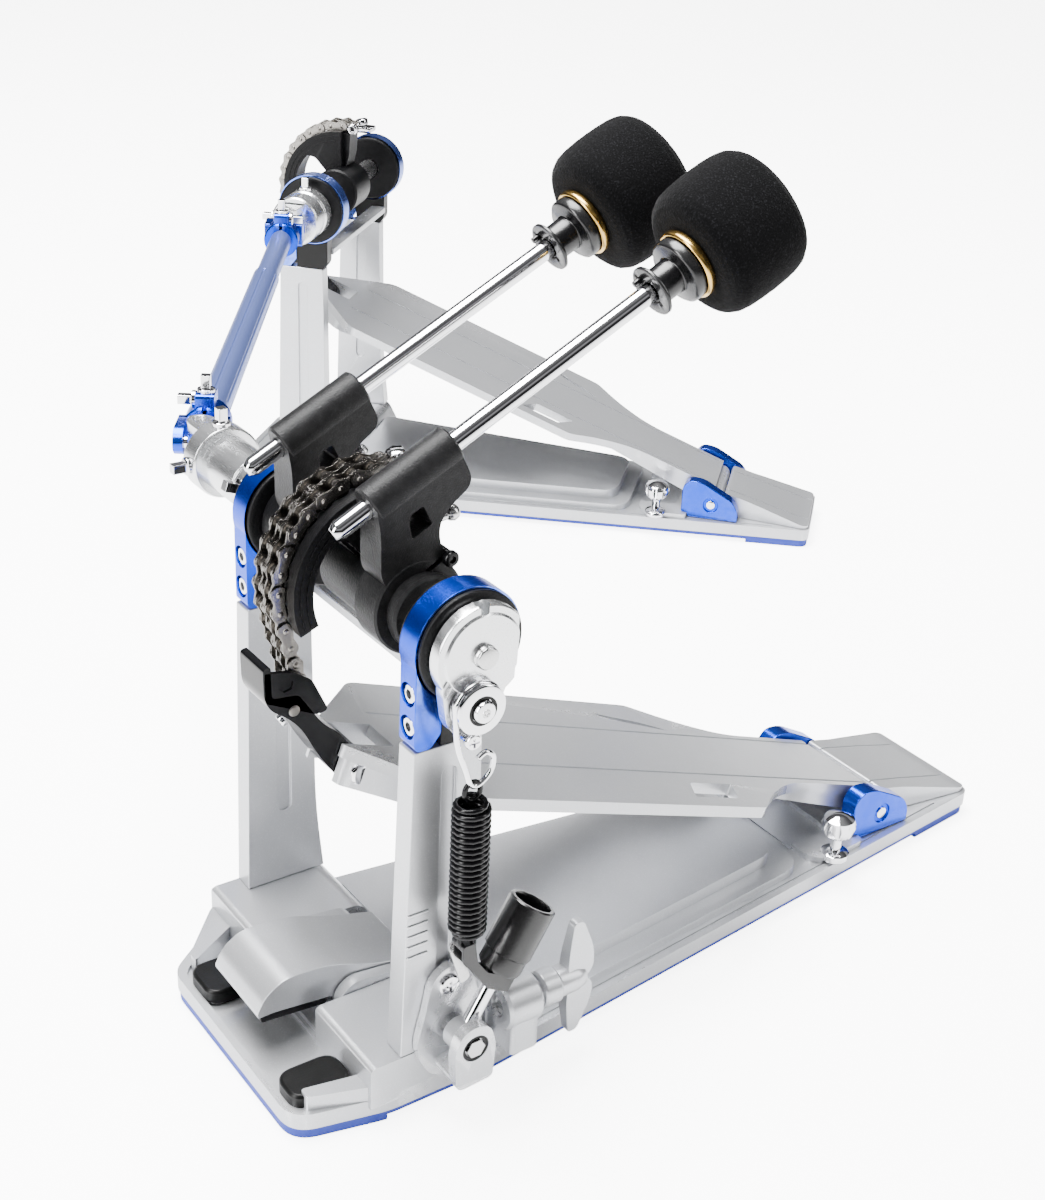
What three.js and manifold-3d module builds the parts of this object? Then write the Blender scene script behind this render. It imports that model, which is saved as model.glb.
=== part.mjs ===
// Double bass drum pedal: a main pedal with two beaters, and a second pedal that works the far
// beater through a drive shaft with two universal joints.
// Millimetres. +Z is up, +Y points at the drum, +X points from the spring side of the main pedal
// towards the second pedal. The origin is on the floor under the middle of the main shaft.

import * as THREE from 'three';
import { mergeVertices } from 'three/addons/utils/BufferGeometryUtils.js';
import Module from 'manifold-3d';

const wasm = await Module();
wasm.setup();

// ---------- driving dimensions ----------

const GAP = 0.3; // between pieces that rest on each other
const RUN = 0.3; // round a turning shaft, on the radius
const FIT = 0.1; // round a fixed pin or a hub on its shaft, on the radius

const SHAFT_Z = 195; // cam shaft above the floor
const SHAFT_R = 6; // steel cam shaft
const POST_IN = 56.2; // inner face of each post, from the middle
const POST_OUT = 65.9; // outer face of each post
const POST_FRONT = 20.5; // front face of a post at the strap
const POST_BACK = -7; // back face of a post
const POST_RAKE = 3; // how far a post's foot stands forward of its top
const STEP_Z = 28; // top of the block that each post stands on

const STRAP_R = 21; // outer radius of the blue strap
const STRAP_WALL = 3.2; // strap thickness over the bearing
const STRAP_FOOT = 158.6; // bottom of the strap
const STRAP_DEPTH = 10.5; // front to back below the bearing
const POST_TOP = STRAP_FOOT - GAP; // top of a post, under the strap
const CUSHION_BACK = -10; // back of the black block behind the strap
const FLANGE_R = 20.2; // rim of the bearing housing
const FLANGE_T = 2.8; // how far the rim stands out of the strap

const BASE_FRONT = 64.5; // front edge of the base
const BASE_BACK = -324; // heel edge of the base
const FRONT_NEAR = -57.5; // front corner on the spring side
const FRONT_FAR = 42; // front corner on the far side
const BASE_HALF = 66; // half width at the posts
const HEEL_HALF = 32; // half width at the heel
const MAT_Z = 4.6; // top of the rubber base mat
const MAT_ARCH = 2.6; // the mat's hollow between its feet
const RIM_Z = 12; // top of the base's outer rim
const SPINE_Z = 22; // top of the base's raised middle

const HINGE_Y = -259; // heel hinge pin
const HINGE_Z = 22;
const HINGE_HALF = 34.5; // outer face of a hinge block
const HINGE_IN = 26; // inner face of a hinge block
const HINGE_PIN_R = 3;
const PAD_TOP = 17.5; // top of the rubber pads
const BARREL_R = 6.2; // footboard's hinge barrel

const BOARD_TILT = 20.05; // footboard at rest, degrees
const BOARD_TOP = 8.8; // top face above the line from hinge pin to toe pivot
const BOARD_T = 5; // plate thickness
const BOARD_HALF = 50; // half width
const BOARD_HEEL_HALF = 24; // half width between the hinge blocks
const TOE_AT = 287.2; // hinge pin to toe pivot, along the board
const TOE_PIN_R = 3;
const TOE_HALF = 10.6; // half width at the very toe
const TOE_SLOT = 9.3; // half width of the slot that the link arm swings in
const GROOVE_AT = 20; // grooves along the board, from the middle
const GROOVE_W = 1.4;

const CHAIN_R = 39; // pitch radius of the chain on the cam
const CHAIN_PITCH = 7.5;
const CHAIN_X0 = -6.5; // near side of the double chain
const CHAIN_X1 = 8.5; // far side of the double chain
const PLATE_HALF = 3.2; // half height of a link plate
const LINKS_DOWN = 6; // links that unwind from the cam
const LINKS_HANG = 3; // links that hang free at rest
const LINKS_KEPT = 5; // links that never leave the cam
const LEAVE_DEG = -20; // where the chain leaves the cam at rest
const CAM_X0 = -12; // near face of the cam
const CAM_X1 = 9.5; // far face of the cam
const CAM_BAND = 5.5; // thickness of the band under the chain
const CAM_WEB_DEG = 48; // where the web meets the band

const LEAN = 62.6; // beaters lean back from upright at rest, degrees
const ROD_R = 3.6; // beater rod
const ROD_OFFSET = 41.5; // rod axis to shaft axis
const ROD_TAIL = -12.4; // rod's lower end, along the rod
const ROD_TOP = 168; // rod's end inside the felt head
const TUBE_R = 7.5; // socket of the beater holder
const TUBE_LOW = 2.6;
const TUBE_HIGH = 39;
const HUB_R = 18; // holder's hub round the shaft
const SLEEVE_R = 9.4; // hollow shaft inside the far holder
const NEAR_ROD_X = -27.8;
const FAR_ROD_X = 34.4;
const HOLDER_HALF = 7.4; // half thickness of a holder

const SPOOL_LOW = 131; // plastic spool under the head, along the rod
const SPOOL_TOP = 146.8; // cup under the ring
const FELT_LOW = 151; // felt head, along the rod
const FELT_HIGH = 187.5;
const FELT_R = 26.4;

const ROCKER_X0 = -75.5; // outer face of the spring rocker
const ROCKER_R = 18.2;
const SHAFT_END = -78.2;
const ROLLER_Y = 3.6; // rocker's roller
const ROLLER_Z = 178;
const ROLLER_R = 9.3;
const SPRING_X = -78; // spring axis
const SPRING_Y = 4.5;
const SPRING_R = 7.2; // outside of the coils
const SPRING_LOW = 84;
const SPRING_HIGH = 144;
const WIRE_R = 1.1; // hook's wire
const HOOK_END_Z = 147.4; // bottom of the hook's curl
const GROOVE_DEPTH = 3.5; // roller's groove
const HOOK_SLACK = 1.9; // hook round the bottom of the groove

const ANCHOR_Y = 3.2; // pivot of the tension rod
const ANCHOR_Z = 37.5;
const TENSION_X = -76; // tension rod's axis
const ANCHOR_X0 = -85; // outer face of the anchor's cheek
const ROD_LEAN = 30.5; // tension rod leans back, degrees
const KNOB_LOW = 22; // knob along the tension rod
const KNOB_HIGH = 57;
const KNOB_R = 9.3;

const WING_X = -71; // wing bolt axis
const WING_Z = 39;
const JAW_HALF = 18; // half width of the hoop clamp jaw
const JAW_PIN_Y = 16;
const JAW_PIN_Z = 20;
const JAW_PIN_R = 3;

const MAIN_CROSS_X = 138; // centre of the main universal joint
const SLAVE_CROSS_X = -112; // centre of the other one, in the second pedal's frame
const SECOND_X = 499.4; // second pedal's own origin
const SECOND_Y = -272.7;
const SECOND_YAW = -47.2; // second pedal turned about Z, degrees
const EAR_IN = 6.6; // inner and outer faces of a fork's ears, from its axis
const EAR_OUT = 10.8;
const EAR_TIP = 4.6; // ears past the joint's centre
const EAR_HALF = 6.2; // half width of an ear
const CROSS_PIN_R = 2.6;
const CROSS_RUN = 0.65; // round a cross's pins, on the radius
const TUBE_DRIVE_R = 7; // blue drive tube

// ---------- colours ----------

const finish = (color, roughness, metalness) =>
  new THREE.MeshStandardMaterial({ color, roughness, metalness });
const silver = () => finish(0xb9bcc0, 0.42, 0.85);
const chrome = () => finish(0xe6e6e8, 0.12, 1);
const steel = () => finish(0xa9abad, 0.3, 1);
const blue = () => finish(0x1447c8, 0.28, 0.8);
const matBlue = () => finish(0x1a2f9a, 0.6, 0);
const black = () => finish(0x161618, 0.5, 0.3);
const plastic = () => finish(0x141415, 0.35, 0);
const rubber = () => finish(0x101011, 0.75, 0);
const felt = () => finish(0x121214, 1, 0);
const brassy = () => finish(0xc79a3a, 0.3, 1);

// ---------- solids ----------

const ROUND = 20; // sides of a large turned part
const SIDES_SMALL = 10; // sides of a small one

const rad = THREE.MathUtils.degToRad;

function solid(geometry) {
  const g = geometry.clone();
  g.deleteAttribute('normal');
  g.deleteAttribute('uv');
  const m = mergeVertices(g, 1e-4);
  return new wasm.Manifold(
    new wasm.Mesh({
      numProp: 3,
      vertProperties: new Float32Array(m.attributes.position.array),
      triVerts: new Uint32Array(m.index.array),
    })
  );
}

function geometryOf(manifold) {
  const m = manifold.getMesh();
  const g = new THREE.BufferGeometry();
  g.setAttribute('position', new THREE.BufferAttribute(new Float32Array(m.vertProperties), 3));
  g.setIndex(new THREE.BufferAttribute(new Uint32Array(m.triVerts), 1));
  const flat = g.toNonIndexed();
  flat.computeVertexNormals();
  return flat;
}

function piece(name, manifold, material) {
  const mesh = new THREE.Mesh(geometryOf(manifold), material);
  mesh.name = name;
  return mesh;
}

const join = (...parts) => parts.reduce((sum, part) => sum.add(part));
const cut = (body, ...tools) => tools.reduce((left, tool) => left.subtract(tool), body);

function box(x0, x1, y0, y1, z0, z1) {
  const g = new THREE.BoxGeometry(x1 - x0, y1 - y0, z1 - z0);
  g.translate((x0 + x1) / 2, (y0 + y1) / 2, (z0 + z1) / 2);
  return solid(g);
}

// Outline of [x, y] points, each corner rounded by its own radius when it has a third number.
function outline(points) {
  const shape = new THREE.Shape();
  const count = points.length;
  points.forEach(([x, y, wanted = 0], i) => {
    const here = new THREE.Vector2(x, y);
    const before = new THREE.Vector2(...points[(i + count - 1) % count].slice(0, 2));
    const after = new THREE.Vector2(...points[(i + 1) % count].slice(0, 2));
    const room = Math.min(before.distanceTo(here), after.distanceTo(here));
    const radius = Math.min(wanted, room * 0.45);
    const start = before.sub(here).setLength(radius).add(here);
    const end = after.sub(here).setLength(radius).add(here);
    if (i === 0) shape.moveTo(start.x, start.y);
    else shape.lineTo(start.x, start.y);
    if (radius > 0) shape.quadraticCurveTo(here.x, here.y, end.x, end.y);
  });
  shape.closePath();
  return shape;
}

// A flat outline given thickness along Z.
function slabZ(points, z0, z1) {
  const g = new THREE.ExtrudeGeometry(outline(points), {
    depth: z1 - z0, bevelEnabled: false, curveSegments: 2, steps: 1,
  });
  g.translate(0, 0, z0);
  return solid(g);
}

// The same for an outline of [y, z] points, given thickness along X.
function slabX(points, x0, x1, segments = 2) {
  const g = new THREE.ExtrudeGeometry(outline(points), {
    depth: x1 - x0, bevelEnabled: false, curveSegments: segments, steps: 1,
  });
  g.applyMatrix4(new THREE.Matrix4().makeBasis(
    new THREE.Vector3(0, 1, 0), new THREE.Vector3(0, 0, 1), new THREE.Vector3(1, 0, 0)));
  g.translate(x0, 0, 0);
  return solid(g);
}

// Turned part: [radius, distance] points along an axis through `at`.
function turned(profile, at, axis, sides = SIDES_SMALL) {
  const points = profile.map(([r, d]) => new THREE.Vector2(r, d));
  const g = new THREE.LatheGeometry(points, sides);
  const turn = new THREE.Quaternion().setFromUnitVectors(
    new THREE.Vector3(0, 1, 0), new THREE.Vector3(...axis).normalize());
  g.applyQuaternion(turn);
  g.translate(...at);
  const body = solid(g);
  return body.volume() < 0 ? solid(flipped(g)) : body;
}

function flipped(geometry) {
  const g = geometry.clone();
  const index = Array.from(g.index.array);
  for (let i = 0; i < index.length; i += 3) [index[i], index[i + 1]] = [index[i + 1], index[i]];
  g.setIndex(index);
  return g;
}

// Plain cylinder from distance a to b along an axis through `at`.
const rod = (r, a, b, at, axis, sides = SIDES_SMALL) =>
  turned([[0, a], [r, a], [r, b], [0, b]], at, axis, sides);

const rodX = (r, x0, x1, y, z, sides = SIDES_SMALL) => rod(r, x0, x1, [0, y, z], [1, 0, 0], sides);
const rodY = (r, y0, y1, x, z, sides = SIDES_SMALL) => rod(r, y0, y1, [x, 0, z], [0, 1, 0], sides);
const rodZ = (r, z0, z1, x, y, sides = SIDES_SMALL) => rod(r, z0, z1, [x, y, 0], [0, 0, 1], sides);

// Hole along X that a round shaft of radius r passes through.
const holeX = (r, x0, x1, y, z) => rodX(r / Math.cos(Math.PI / SIDES_SMALL), x0, x1, y, z, SIDES_SMALL);

// Wire of round section along a smooth curve.
function wire(points, r, steps, sides = 8) {
  const section = new THREE.Shape();
  for (let i = 0; i < sides; i += 1) {
    const a = (i / sides) * Math.PI * 2;
    if (i === 0) section.moveTo(r * Math.cos(a), r * Math.sin(a));
    else section.lineTo(r * Math.cos(a), r * Math.sin(a));
  }
  section.closePath();
  const path = new THREE.CatmullRomCurve3(points.map((p) => new THREE.Vector3(...p)));
  return solid(new THREE.ExtrudeGeometry(section, { extrudePath: path, steps, bevelEnabled: false }));
}

// ---------- frame castings ----------

// Half outline of a base as [x, y] points, from its front corners back to the heel.
function baseOutline(near, far, inset = 0) {
  return [
    [far - inset, BASE_FRONT - inset, 4],
    [BASE_HALF - inset, 34 - inset * 0.4, 3],
    [BASE_HALF - inset, -14, 3],
    [HEEL_HALF - inset, BASE_BACK + inset, 4],
    [-HEEL_HALF + inset, BASE_BACK + inset, 4],
    [-BASE_HALF + inset, -14, 3],
    [-BASE_HALF + inset, 28 - inset * 0.4, 3],
    [near + inset, BASE_FRONT - inset, 9],
  ];
}

// Half width of the base at a place along its tapered part.
function baseHalfAt(y) {
  return THREE.MathUtils.mapLinear(y, -14, BASE_BACK, BASE_HALF, HEEL_HALF);
}

// Rubber mat. It rests on a heel strip and on a front foot that runs back under the shaft.
function baseMat(near, far) {
  const plate = slabZ(baseOutline(near, far, 0.8), 0, MAT_Z);
  const arch = box(-200, 200, BASE_BACK + 40, -20, -1, MAT_ARCH);
  const edges = [-1, 1].map((side) => box(Math.min(side * 40, side * 90), Math.max(side * 40, side * 90),
    -30, 30, -1, MAT_ARCH));
  return cut(plate, arch, ...edges);
}

// Sloping ridge along the middle of the base, behind the posts.
function spine(inset, z) {
  const front = -16;
  const back = -205;
  return slabZ([
    [baseHalfAt(front) - inset, front, 3], [baseHalfAt(back) - inset, back, 6],
    [-baseHalfAt(back) + inset, back, 6], [-baseHalfAt(front) + inset, front, 3],
  ], MAT_Z + 1, z);
}

function basePlate(near, far) {
  const rim = slabZ(baseOutline(near, far), MAT_Z + GAP, RIM_Z);
  const tread = slabZ([
    [far - 3, BASE_FRONT - 3, 3], [BASE_HALF - 5, 35, 3], [-BASE_HALF + 5, 35, 3],
    [near + 4, BASE_FRONT - 3, 7],
  ], RIM_Z - 1.6, RIM_Z + 1);
  const nearWall = slabZ([
    [-BASE_HALF, 30, 2], [-BASE_HALF, 20, 2], [-BASE_HALF + 9, 20, 2],
    [near + 7, BASE_FRONT - 6, 2], [near + 1.4, BASE_FRONT - 6, 2],
  ], RIM_Z - 1, 18);
  const farWall = slabZ([
    [BASE_HALF, 35, 2], [BASE_HALF, 20, 2], [BASE_HALF - 9, 20, 2],
    [far - 7, BASE_FRONT - 7, 2], [far - 1, BASE_FRONT - 5, 2],
  ], RIM_Z - 1, 18);
  const ridge = join(spine(7, 16), spine(14, SPINE_Z));
  const middle = box(-30, 30, -30, 34, RIM_Z - 1, 14);
  const heelPocket = slabZ([
    [baseHalfAt(-200) - 3, -200, 6], [baseHalfAt(-242) - 2, -242, 1],
    [-baseHalfAt(-242) + 2, -242, 1], [-baseHalfAt(-200) + 3, -200, 6],
  ], RIM_Z - 1, 15);
  const pocket = box(-25, 25, -234, -204, 8, 40);
  let plate = join(cut(rim, tread), nearWall, farWall, ridge, middle, heelPocket);
  plate = cut(plate, pocket);
  for (const side of [-1, 1]) plate = plate.add(stepBlock(side));
  return plate;
}

// Block under a post. It steps down in front, towards the rubber pads.
function stepBlock(side) {
  const block = slabX([
    [36, RIM_Z - 1], [36, STEP_Z - 1, 1], [34.5, STEP_Z], [POST_BACK - 5, STEP_Z, 2],
    [POST_BACK - 15, RIM_Z - 1],
  ], 24, BASE_HALF);
  return side > 0 ? block : block.mirror([1, 0, 0]);
}

// Front face of a post at a height, which leans back going up.
function postFrontAt(z) {
  return THREE.MathUtils.mapLinear(z, STEP_Z, POST_TOP, POST_FRONT + POST_RAKE, POST_FRONT);
}

// Post with the black block on its top, which fills the space behind the strap.
function post(side) {
  const low = STEP_Z + GAP;
  const body = slabX([
    [postFrontAt(low), low], [postFrontAt(POST_TOP), POST_TOP, 1],
    [POST_BACK, POST_TOP, 1], [POST_BACK - 1, low],
  ], POST_IN, POST_OUT);
  const block = slabX([
    [POST_FRONT - STRAP_DEPTH - GAP, POST_TOP - 1], [POST_FRONT - STRAP_DEPTH - GAP, SHAFT_Z],
    [CUSHION_BACK, SHAFT_Z], [CUSHION_BACK, POST_TOP + 4], [POST_BACK, POST_TOP - 1],
  ], POST_IN, POST_OUT);
  const ring = rodX(STRAP_R + GAP, 0, 90, 0, SHAFT_Z, ROUND);
  const grooves = [POST_OUT - 1.2, POST_IN - 1].map((x) => box(x, x + 2.2, 2, 9, low + 34, POST_TOP - 10));
  const whole = cut(join(body, block), ring, ...grooves);
  return side > 0 ? whole : whole.mirror([1, 0, 0]);
}

function bearingHousing(side) {
  const seat = STRAP_R - STRAP_WALL - GAP;
  const body = turned([
    [SHAFT_R + RUN, POST_IN - FLANGE_T], [FLANGE_R, POST_IN - FLANGE_T],
    [FLANGE_R, POST_IN - GAP], [seat, POST_IN - GAP], [seat, POST_OUT + GAP],
    [FLANGE_R, POST_OUT + GAP], [FLANGE_R, POST_OUT + FLANGE_T],
    [SHAFT_R + RUN, POST_OUT + FLANGE_T], [SHAFT_R + RUN, POST_IN - FLANGE_T],
  ], [0, 0, SHAFT_Z], [1, 0, 0], ROUND);
  return side > 0 ? body : body.mirror([1, 0, 0]);
}

function strap(side) {
  const back = POST_FRONT - STRAP_DEPTH;
  const foot = slabX([
    [POST_FRONT, SHAFT_Z], [POST_FRONT, STRAP_FOOT + 1.5, 1], [POST_FRONT - 1.5, STRAP_FOOT],
    [back + 3.5, STRAP_FOOT], [back, STRAP_FOOT + 5], [back, SHAFT_Z],
  ], POST_IN, POST_OUT);
  const ring = rodX(STRAP_R, POST_IN, POST_OUT, 0, SHAFT_Z, ROUND);
  const seat = rodX(STRAP_R - STRAP_WALL, POST_IN - 1, POST_OUT + 1, 0, SHAFT_Z, ROUND);
  const body = cut(join(foot, ring), seat);
  return side > 0 ? body : body.mirror([1, 0, 0]);
}

// The second pedal's strap and bearing housing are one piece here.
function strapWithBearing(side) {
  const between = turned([
    [STRAP_R - STRAP_WALL - 2, POST_IN], [STRAP_R - 1, POST_IN], [STRAP_R - 1, POST_OUT],
    [STRAP_R - STRAP_WALL - 2, POST_OUT], [STRAP_R - STRAP_WALL - 2, POST_IN],
  ], [0, 0, SHAFT_Z], [1, 0, 0], ROUND);
  const filler = side > 0 ? between : between.mirror([1, 0, 0]);
  return join(strap(side), bearingHousing(side), filler);
}

function postBrace(end = POST_IN - GAP) {
  return box(-end, end, -11, -1.5, POST_TOP + 7.4, POST_TOP + 11.6);
}

function heelPlate() {
  const front = HINGE_Y - BARREL_R - 1.2;
  const body = slabX([
    [front, RIM_Z + GAP], [front, HINGE_Z + 6.4, 2], [front - 22, 22.5, 8],
    [BASE_BACK + 6, 14.4], [BASE_BACK + 1, 14.2, 1], [BASE_BACK + 1, RIM_Z + GAP],
  ], -HEEL_HALF, HEEL_HALF);
  const trim = slabZ([
    [HEEL_HALF - 1, BASE_BACK + 1, 4], [-HEEL_HALF + 1, BASE_BACK + 1, 4],
    [-HINGE_IN + 0.4, -279, 2], [-HINGE_IN + 0.4, front + 1, 0],
    [HINGE_IN - 0.4, front + 1, 0], [HINGE_IN - 0.4, -279, 2],
  ], RIM_Z, 60);
  let plate = body.intersect(trim);
  for (const side of [-1, 1]) {
    plate = cut(plate, box(side * 17 - 0.6, side * 17 + 0.6, BASE_BACK, front + 5, 14.6, 17));
  }
  return plate;
}

function hingeBlock(side) {
  const body = slabX([
    [-240, RIM_Z + GAP], [-240, 31, 1], [-244.5, 37.6, 2], [-252, 37.2, 2],
    [-274, 25.5, 2], [-277, 19, 1], [-277, RIM_Z + GAP],
  ], HINGE_IN, HINGE_HALF);
  const cutOff = box(0, 60, -245, -230, RIM_Z, 15 + GAP);
  const bore = holeX(HINGE_PIN_R + FIT, 0, 60, HINGE_Y, HINGE_Z);
  const block = cut(body, cutOff, bore);
  return side > 0 ? block : block.mirror([1, 0, 0]);
}

const hingePin = () => rodX(HINGE_PIN_R, -HINGE_HALF + 0.2, HINGE_HALF - 0.2, HINGE_Y, HINGE_Z);

// ---------- footboard, in its own frame: origin on the hinge pin, y towards the toe ----------

// Cheek under the toe, which holds one end of the pivot.
function toeCheek(side, bottom, corner) {
  return slabZ([
    [side * TOE_SLOT, TOE_AT + 8, 0], [side * (TOE_HALF + 2.4), TOE_AT + 7, 1],
    [side * (TOE_HALF + 4.6), TOE_AT + 3, 1], [side * (BOARD_HALF - 22), corner + 12, 2],
    [side * (BOARD_HALF - 24), corner - 6, 0], [side * TOE_SLOT, corner - 16, 0],
  ], -6.6, bottom + 1);
}

function footboard() {
  const bottom = BOARD_TOP - BOARD_T;
  const corner = TOE_AT - 29;
  const waist = 102;
  const right = [
    [TOE_HALF, TOE_AT + 9, 1], [BOARD_HALF, corner, 3], [BOARD_HALF, waist, 2],
    [BOARD_HALF - 15, waist - 19, 12], [BOARD_HEEL_HALF, waist - 42, 10], [BOARD_HEEL_HALF, 2, 0],
  ];
  const left = right.map(([x, y, r]) => [-x, y, r]).reverse();
  let board = slabZ([...right, ...left], bottom, BOARD_TOP);
  const heelRib = slabX([
    [3, -BARREL_R + 1.5], [3, BOARD_TOP - 1], [88, BOARD_TOP - 1], [80, 1],
  ], -BOARD_HEEL_HALF + 1, BOARD_HEEL_HALF - 1);
  const barrel = rodX(BARREL_R, -BOARD_HEEL_HALF, BOARD_HEEL_HALF, 0, 0);
  board = join(board, heelRib, barrel);
  for (const side of [-1, 1]) board = board.add(toeCheek(side, bottom, corner));
  const slot = box(-TOE_SLOT, TOE_SLOT, TOE_AT - 15, TOE_AT + 40, -20, 40);
  const relief = slabZ([
    [-TOE_SLOT, TOE_AT - 16], [TOE_SLOT, TOE_AT - 16], [0, TOE_AT - 40],
  ], -20, BOARD_TOP - 1.4);
  const bore = holeX(HINGE_PIN_R + RUN, -60, 60, 0, 0);
  board = cut(board, slot, relief, bore);
  for (const side of [-1, 1]) {
    const at = side * GROOVE_AT;
    board = cut(board, box(at - GROOVE_W / 2, at + GROOVE_W / 2, 1, corner + 10, BOARD_TOP - 0.8, 20));
  }
  const window = slabZ([[-42, 112, 1], [-42, 138, 1], [-29, 130, 1], [-29, 104, 1]], -20, 20);
  const lozenge = slabZ([[24, 96], [31, 122], [38, 134], [31, 108]], -20, 20);
  return join(cut(board, window, lozenge), toePivotPin());
}

// Where that pivot is when the board is at rest.
const TOE_Y = HINGE_Y + TOE_AT * Math.cos(rad(BOARD_TILT));
const TOE_Z = HINGE_Z + TOE_AT * Math.sin(rad(BOARD_TILT));

// Pivot of the link arm, fixed in the board's two cheeks.
const toePivotPin = () => join(
  rodX(TOE_PIN_R, -TOE_HALF - 4, TOE_HALF + 4, TOE_AT, 0),
  rodX(5, -TOE_HALF - 6.4, -TOE_HALF - 4, TOE_AT, 0),
);

// ---------- linkage arm, in its own frame: origin on the toe pivot, at rest ----------

// Its upper end is a housing round the chain's last pins, so it goes where the chain hangs.
function linkArm() {
  const [endY, endZ] = chainEnd();
  const top = (dy, dz, ...rest) => [endY - TOE_Y + dy, endZ - TOE_Z + dz, ...rest];
  const shell = slabX([
    [-5.5, -4, 3], [3, -8, 3], [14, 7, 6], [23, 25, 4], top(15.8, -5, 3), top(16.2, 10.6, 1),
    top(13, 11, 1), top(12.8, -1.9, 2), top(2.4, -2.9, 2), [12.5, 21, 4], [6, 16, 2], [1, 8, 3], [-5, 4, 2],
  ], -8.8, 8.8, 3);
  const lug = slabX([
    top(-3.2, 1.6), top(3.8, 6.6), top(15.6, 9), top(15.6, -3), [15, 26], [10.5, 27],
  ], -8.8, CHAIN_X0 - 0.6);
  const channel = slabX([[20, 60], [40, 60], [26.5, 38], [14, 22], [4, 17], [0, 40]], -6.9, 9.9)
    .intersect(box(-6.9, 9.9, -20, 25.2, 0, 80));
  const bore = holeX(TOE_PIN_R + RUN, -20, 20, 0, 0);
  return cut(join(cut(shell, channel), lug), bore);
}

// ---------- cam, chain ----------

const camPoint = (deg, r) => [r * Math.cos(rad(deg)), SHAFT_Z + r * Math.sin(rad(deg))];

// Curved band that the chain lies on, held at its upper end by a web from the hub. Its near
// side has a thicker rim.
function camSector() {
  const seat = CHAIN_R - PLATE_HALF - 0.5;
  const inside = seat - CAM_BAND;
  const low = LEAVE_DEG - 2;
  const arc = (r, from, to, steps) => Array.from({ length: steps + 1 }, (_, i) =>
    camPoint(from + ((to - from) * i) / steps, r));
  const sector = slabX([
    ...arc(seat, low, 88, 22), camPoint(100, seat), camPoint(104, 22), camPoint(104, 13),
    camPoint(CAM_WEB_DEG, 13), ...arc(inside, CAM_WEB_DEG - 4, low, 14),
  ], CHAIN_X0 - 0.6, CAM_X1);
  const rim = slabX([
    ...arc(seat + 1.2, low, 92, 22), camPoint(96, 13), camPoint(CAM_WEB_DEG + 6, 13),
    ...arc(inside - 1, CAM_WEB_DEG - 2, low, 14),
  ], CAM_X0, CHAIN_X0 - 0.5);
  const hub = rodX(14.6, CAM_X0 - 7.5, CAM_X1 - 0.2, 0, SHAFT_Z, ROUND);
  return cut(join(sector, rim, hub), holeX(SHAFT_R + FIT, -40, 40, 0, SHAFT_Z));
}

// Outline of one or more links in a straight row, waisted between pins, as [along, across].
function linkBar(count) {
  const upper = [[-1.1, PLATE_HALF - 0.7]];
  for (let i = 0; i < count; i += 1) {
    const a = i * CHAIN_PITCH;
    upper.push([a + 0.6, PLATE_HALF], [a + CHAIN_PITCH / 2, PLATE_HALF - 1]);
  }
  upper.push([count * CHAIN_PITCH - 2, PLATE_HALF - 0.6]);
  const lower = upper.map(([a, b]) => [a, -b]).reverse();
  return [...upper, ...lower];
}

// Angles of the chain's pins on the cam, going up from where the chain leaves it.
const linkDeg = THREE.MathUtils.radToDeg(2 * Math.asin(CHAIN_PITCH / 2 / CHAIN_R));
const pinDeg = (i) => LEAVE_DEG + i * linkDeg;

// A row of links that starts on pin i of the cam and runs down the chain.
function chainRow(i, count) {
  const [y, z] = camPoint(pinDeg(i), CHAIN_R);
  const chord = pinDeg(i) - linkDeg / 2;
  const along = new THREE.Vector2(Math.sin(rad(chord)), -Math.cos(rad(chord)));
  const across = new THREE.Vector2(-along.y, along.x);
  const points = linkBar(count).map(([a, b]) => [
    y + along.x * a + across.x * b, z + along.y * a + across.y * b]);
  return slabX(points, CHAIN_X0, CHAIN_X1, 1);
}

// Where the chain's last pin hangs at rest.
function chainEnd() {
  const [y, z] = camPoint(pinDeg(1), CHAIN_R);
  const chord = rad(pinDeg(1) - linkDeg / 2);
  const reach = (1 + LINKS_HANG) * CHAIN_PITCH;
  return [y + reach * Math.sin(chord), z - reach * Math.cos(chord)];
}

// The part of the chain that stays on the cam, ending in the anchor bolt.
function chainKept() {
  const top = [];
  const low = [];
  for (let i = 0; i < LINKS_KEPT; i += 1) {
    const deg = pinDeg(LINKS_DOWN + i) + 3.2;
    top.push(camPoint(deg, CHAIN_R + PLATE_HALF), camPoint(deg + linkDeg / 2, CHAIN_R + PLATE_HALF - 1.2));
    low.push(camPoint(deg, CHAIN_R - PLATE_HALF));
  }
  const end = pinDeg(LINKS_DOWN + LINKS_KEPT);
  const row = slabX([
    ...top, camPoint(end, CHAIN_R + PLATE_HALF - 0.4), camPoint(end, CHAIN_R - PLATE_HALF),
    ...low.reverse(),
  ], CHAIN_X0, CHAIN_X1, 1);
  const [y, z] = camPoint(end + 2, CHAIN_R);
  const tab = box(CHAIN_X0 + 2, CHAIN_X1 - 2, y - 11, y + 2, z - 2.6, z + 0.8);
  return join(row, rodX(3.1, CHAIN_X0, CHAIN_X1, y, z, 8), tab);
}

// Pin that holds two links of one rigid row together.
function chainJoint(i) {
  const [y, z] = camPoint(pinDeg(i), CHAIN_R);
  return rodX(2.8, CHAIN_X0, CHAIN_X1, y, z, 8);
}

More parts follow.
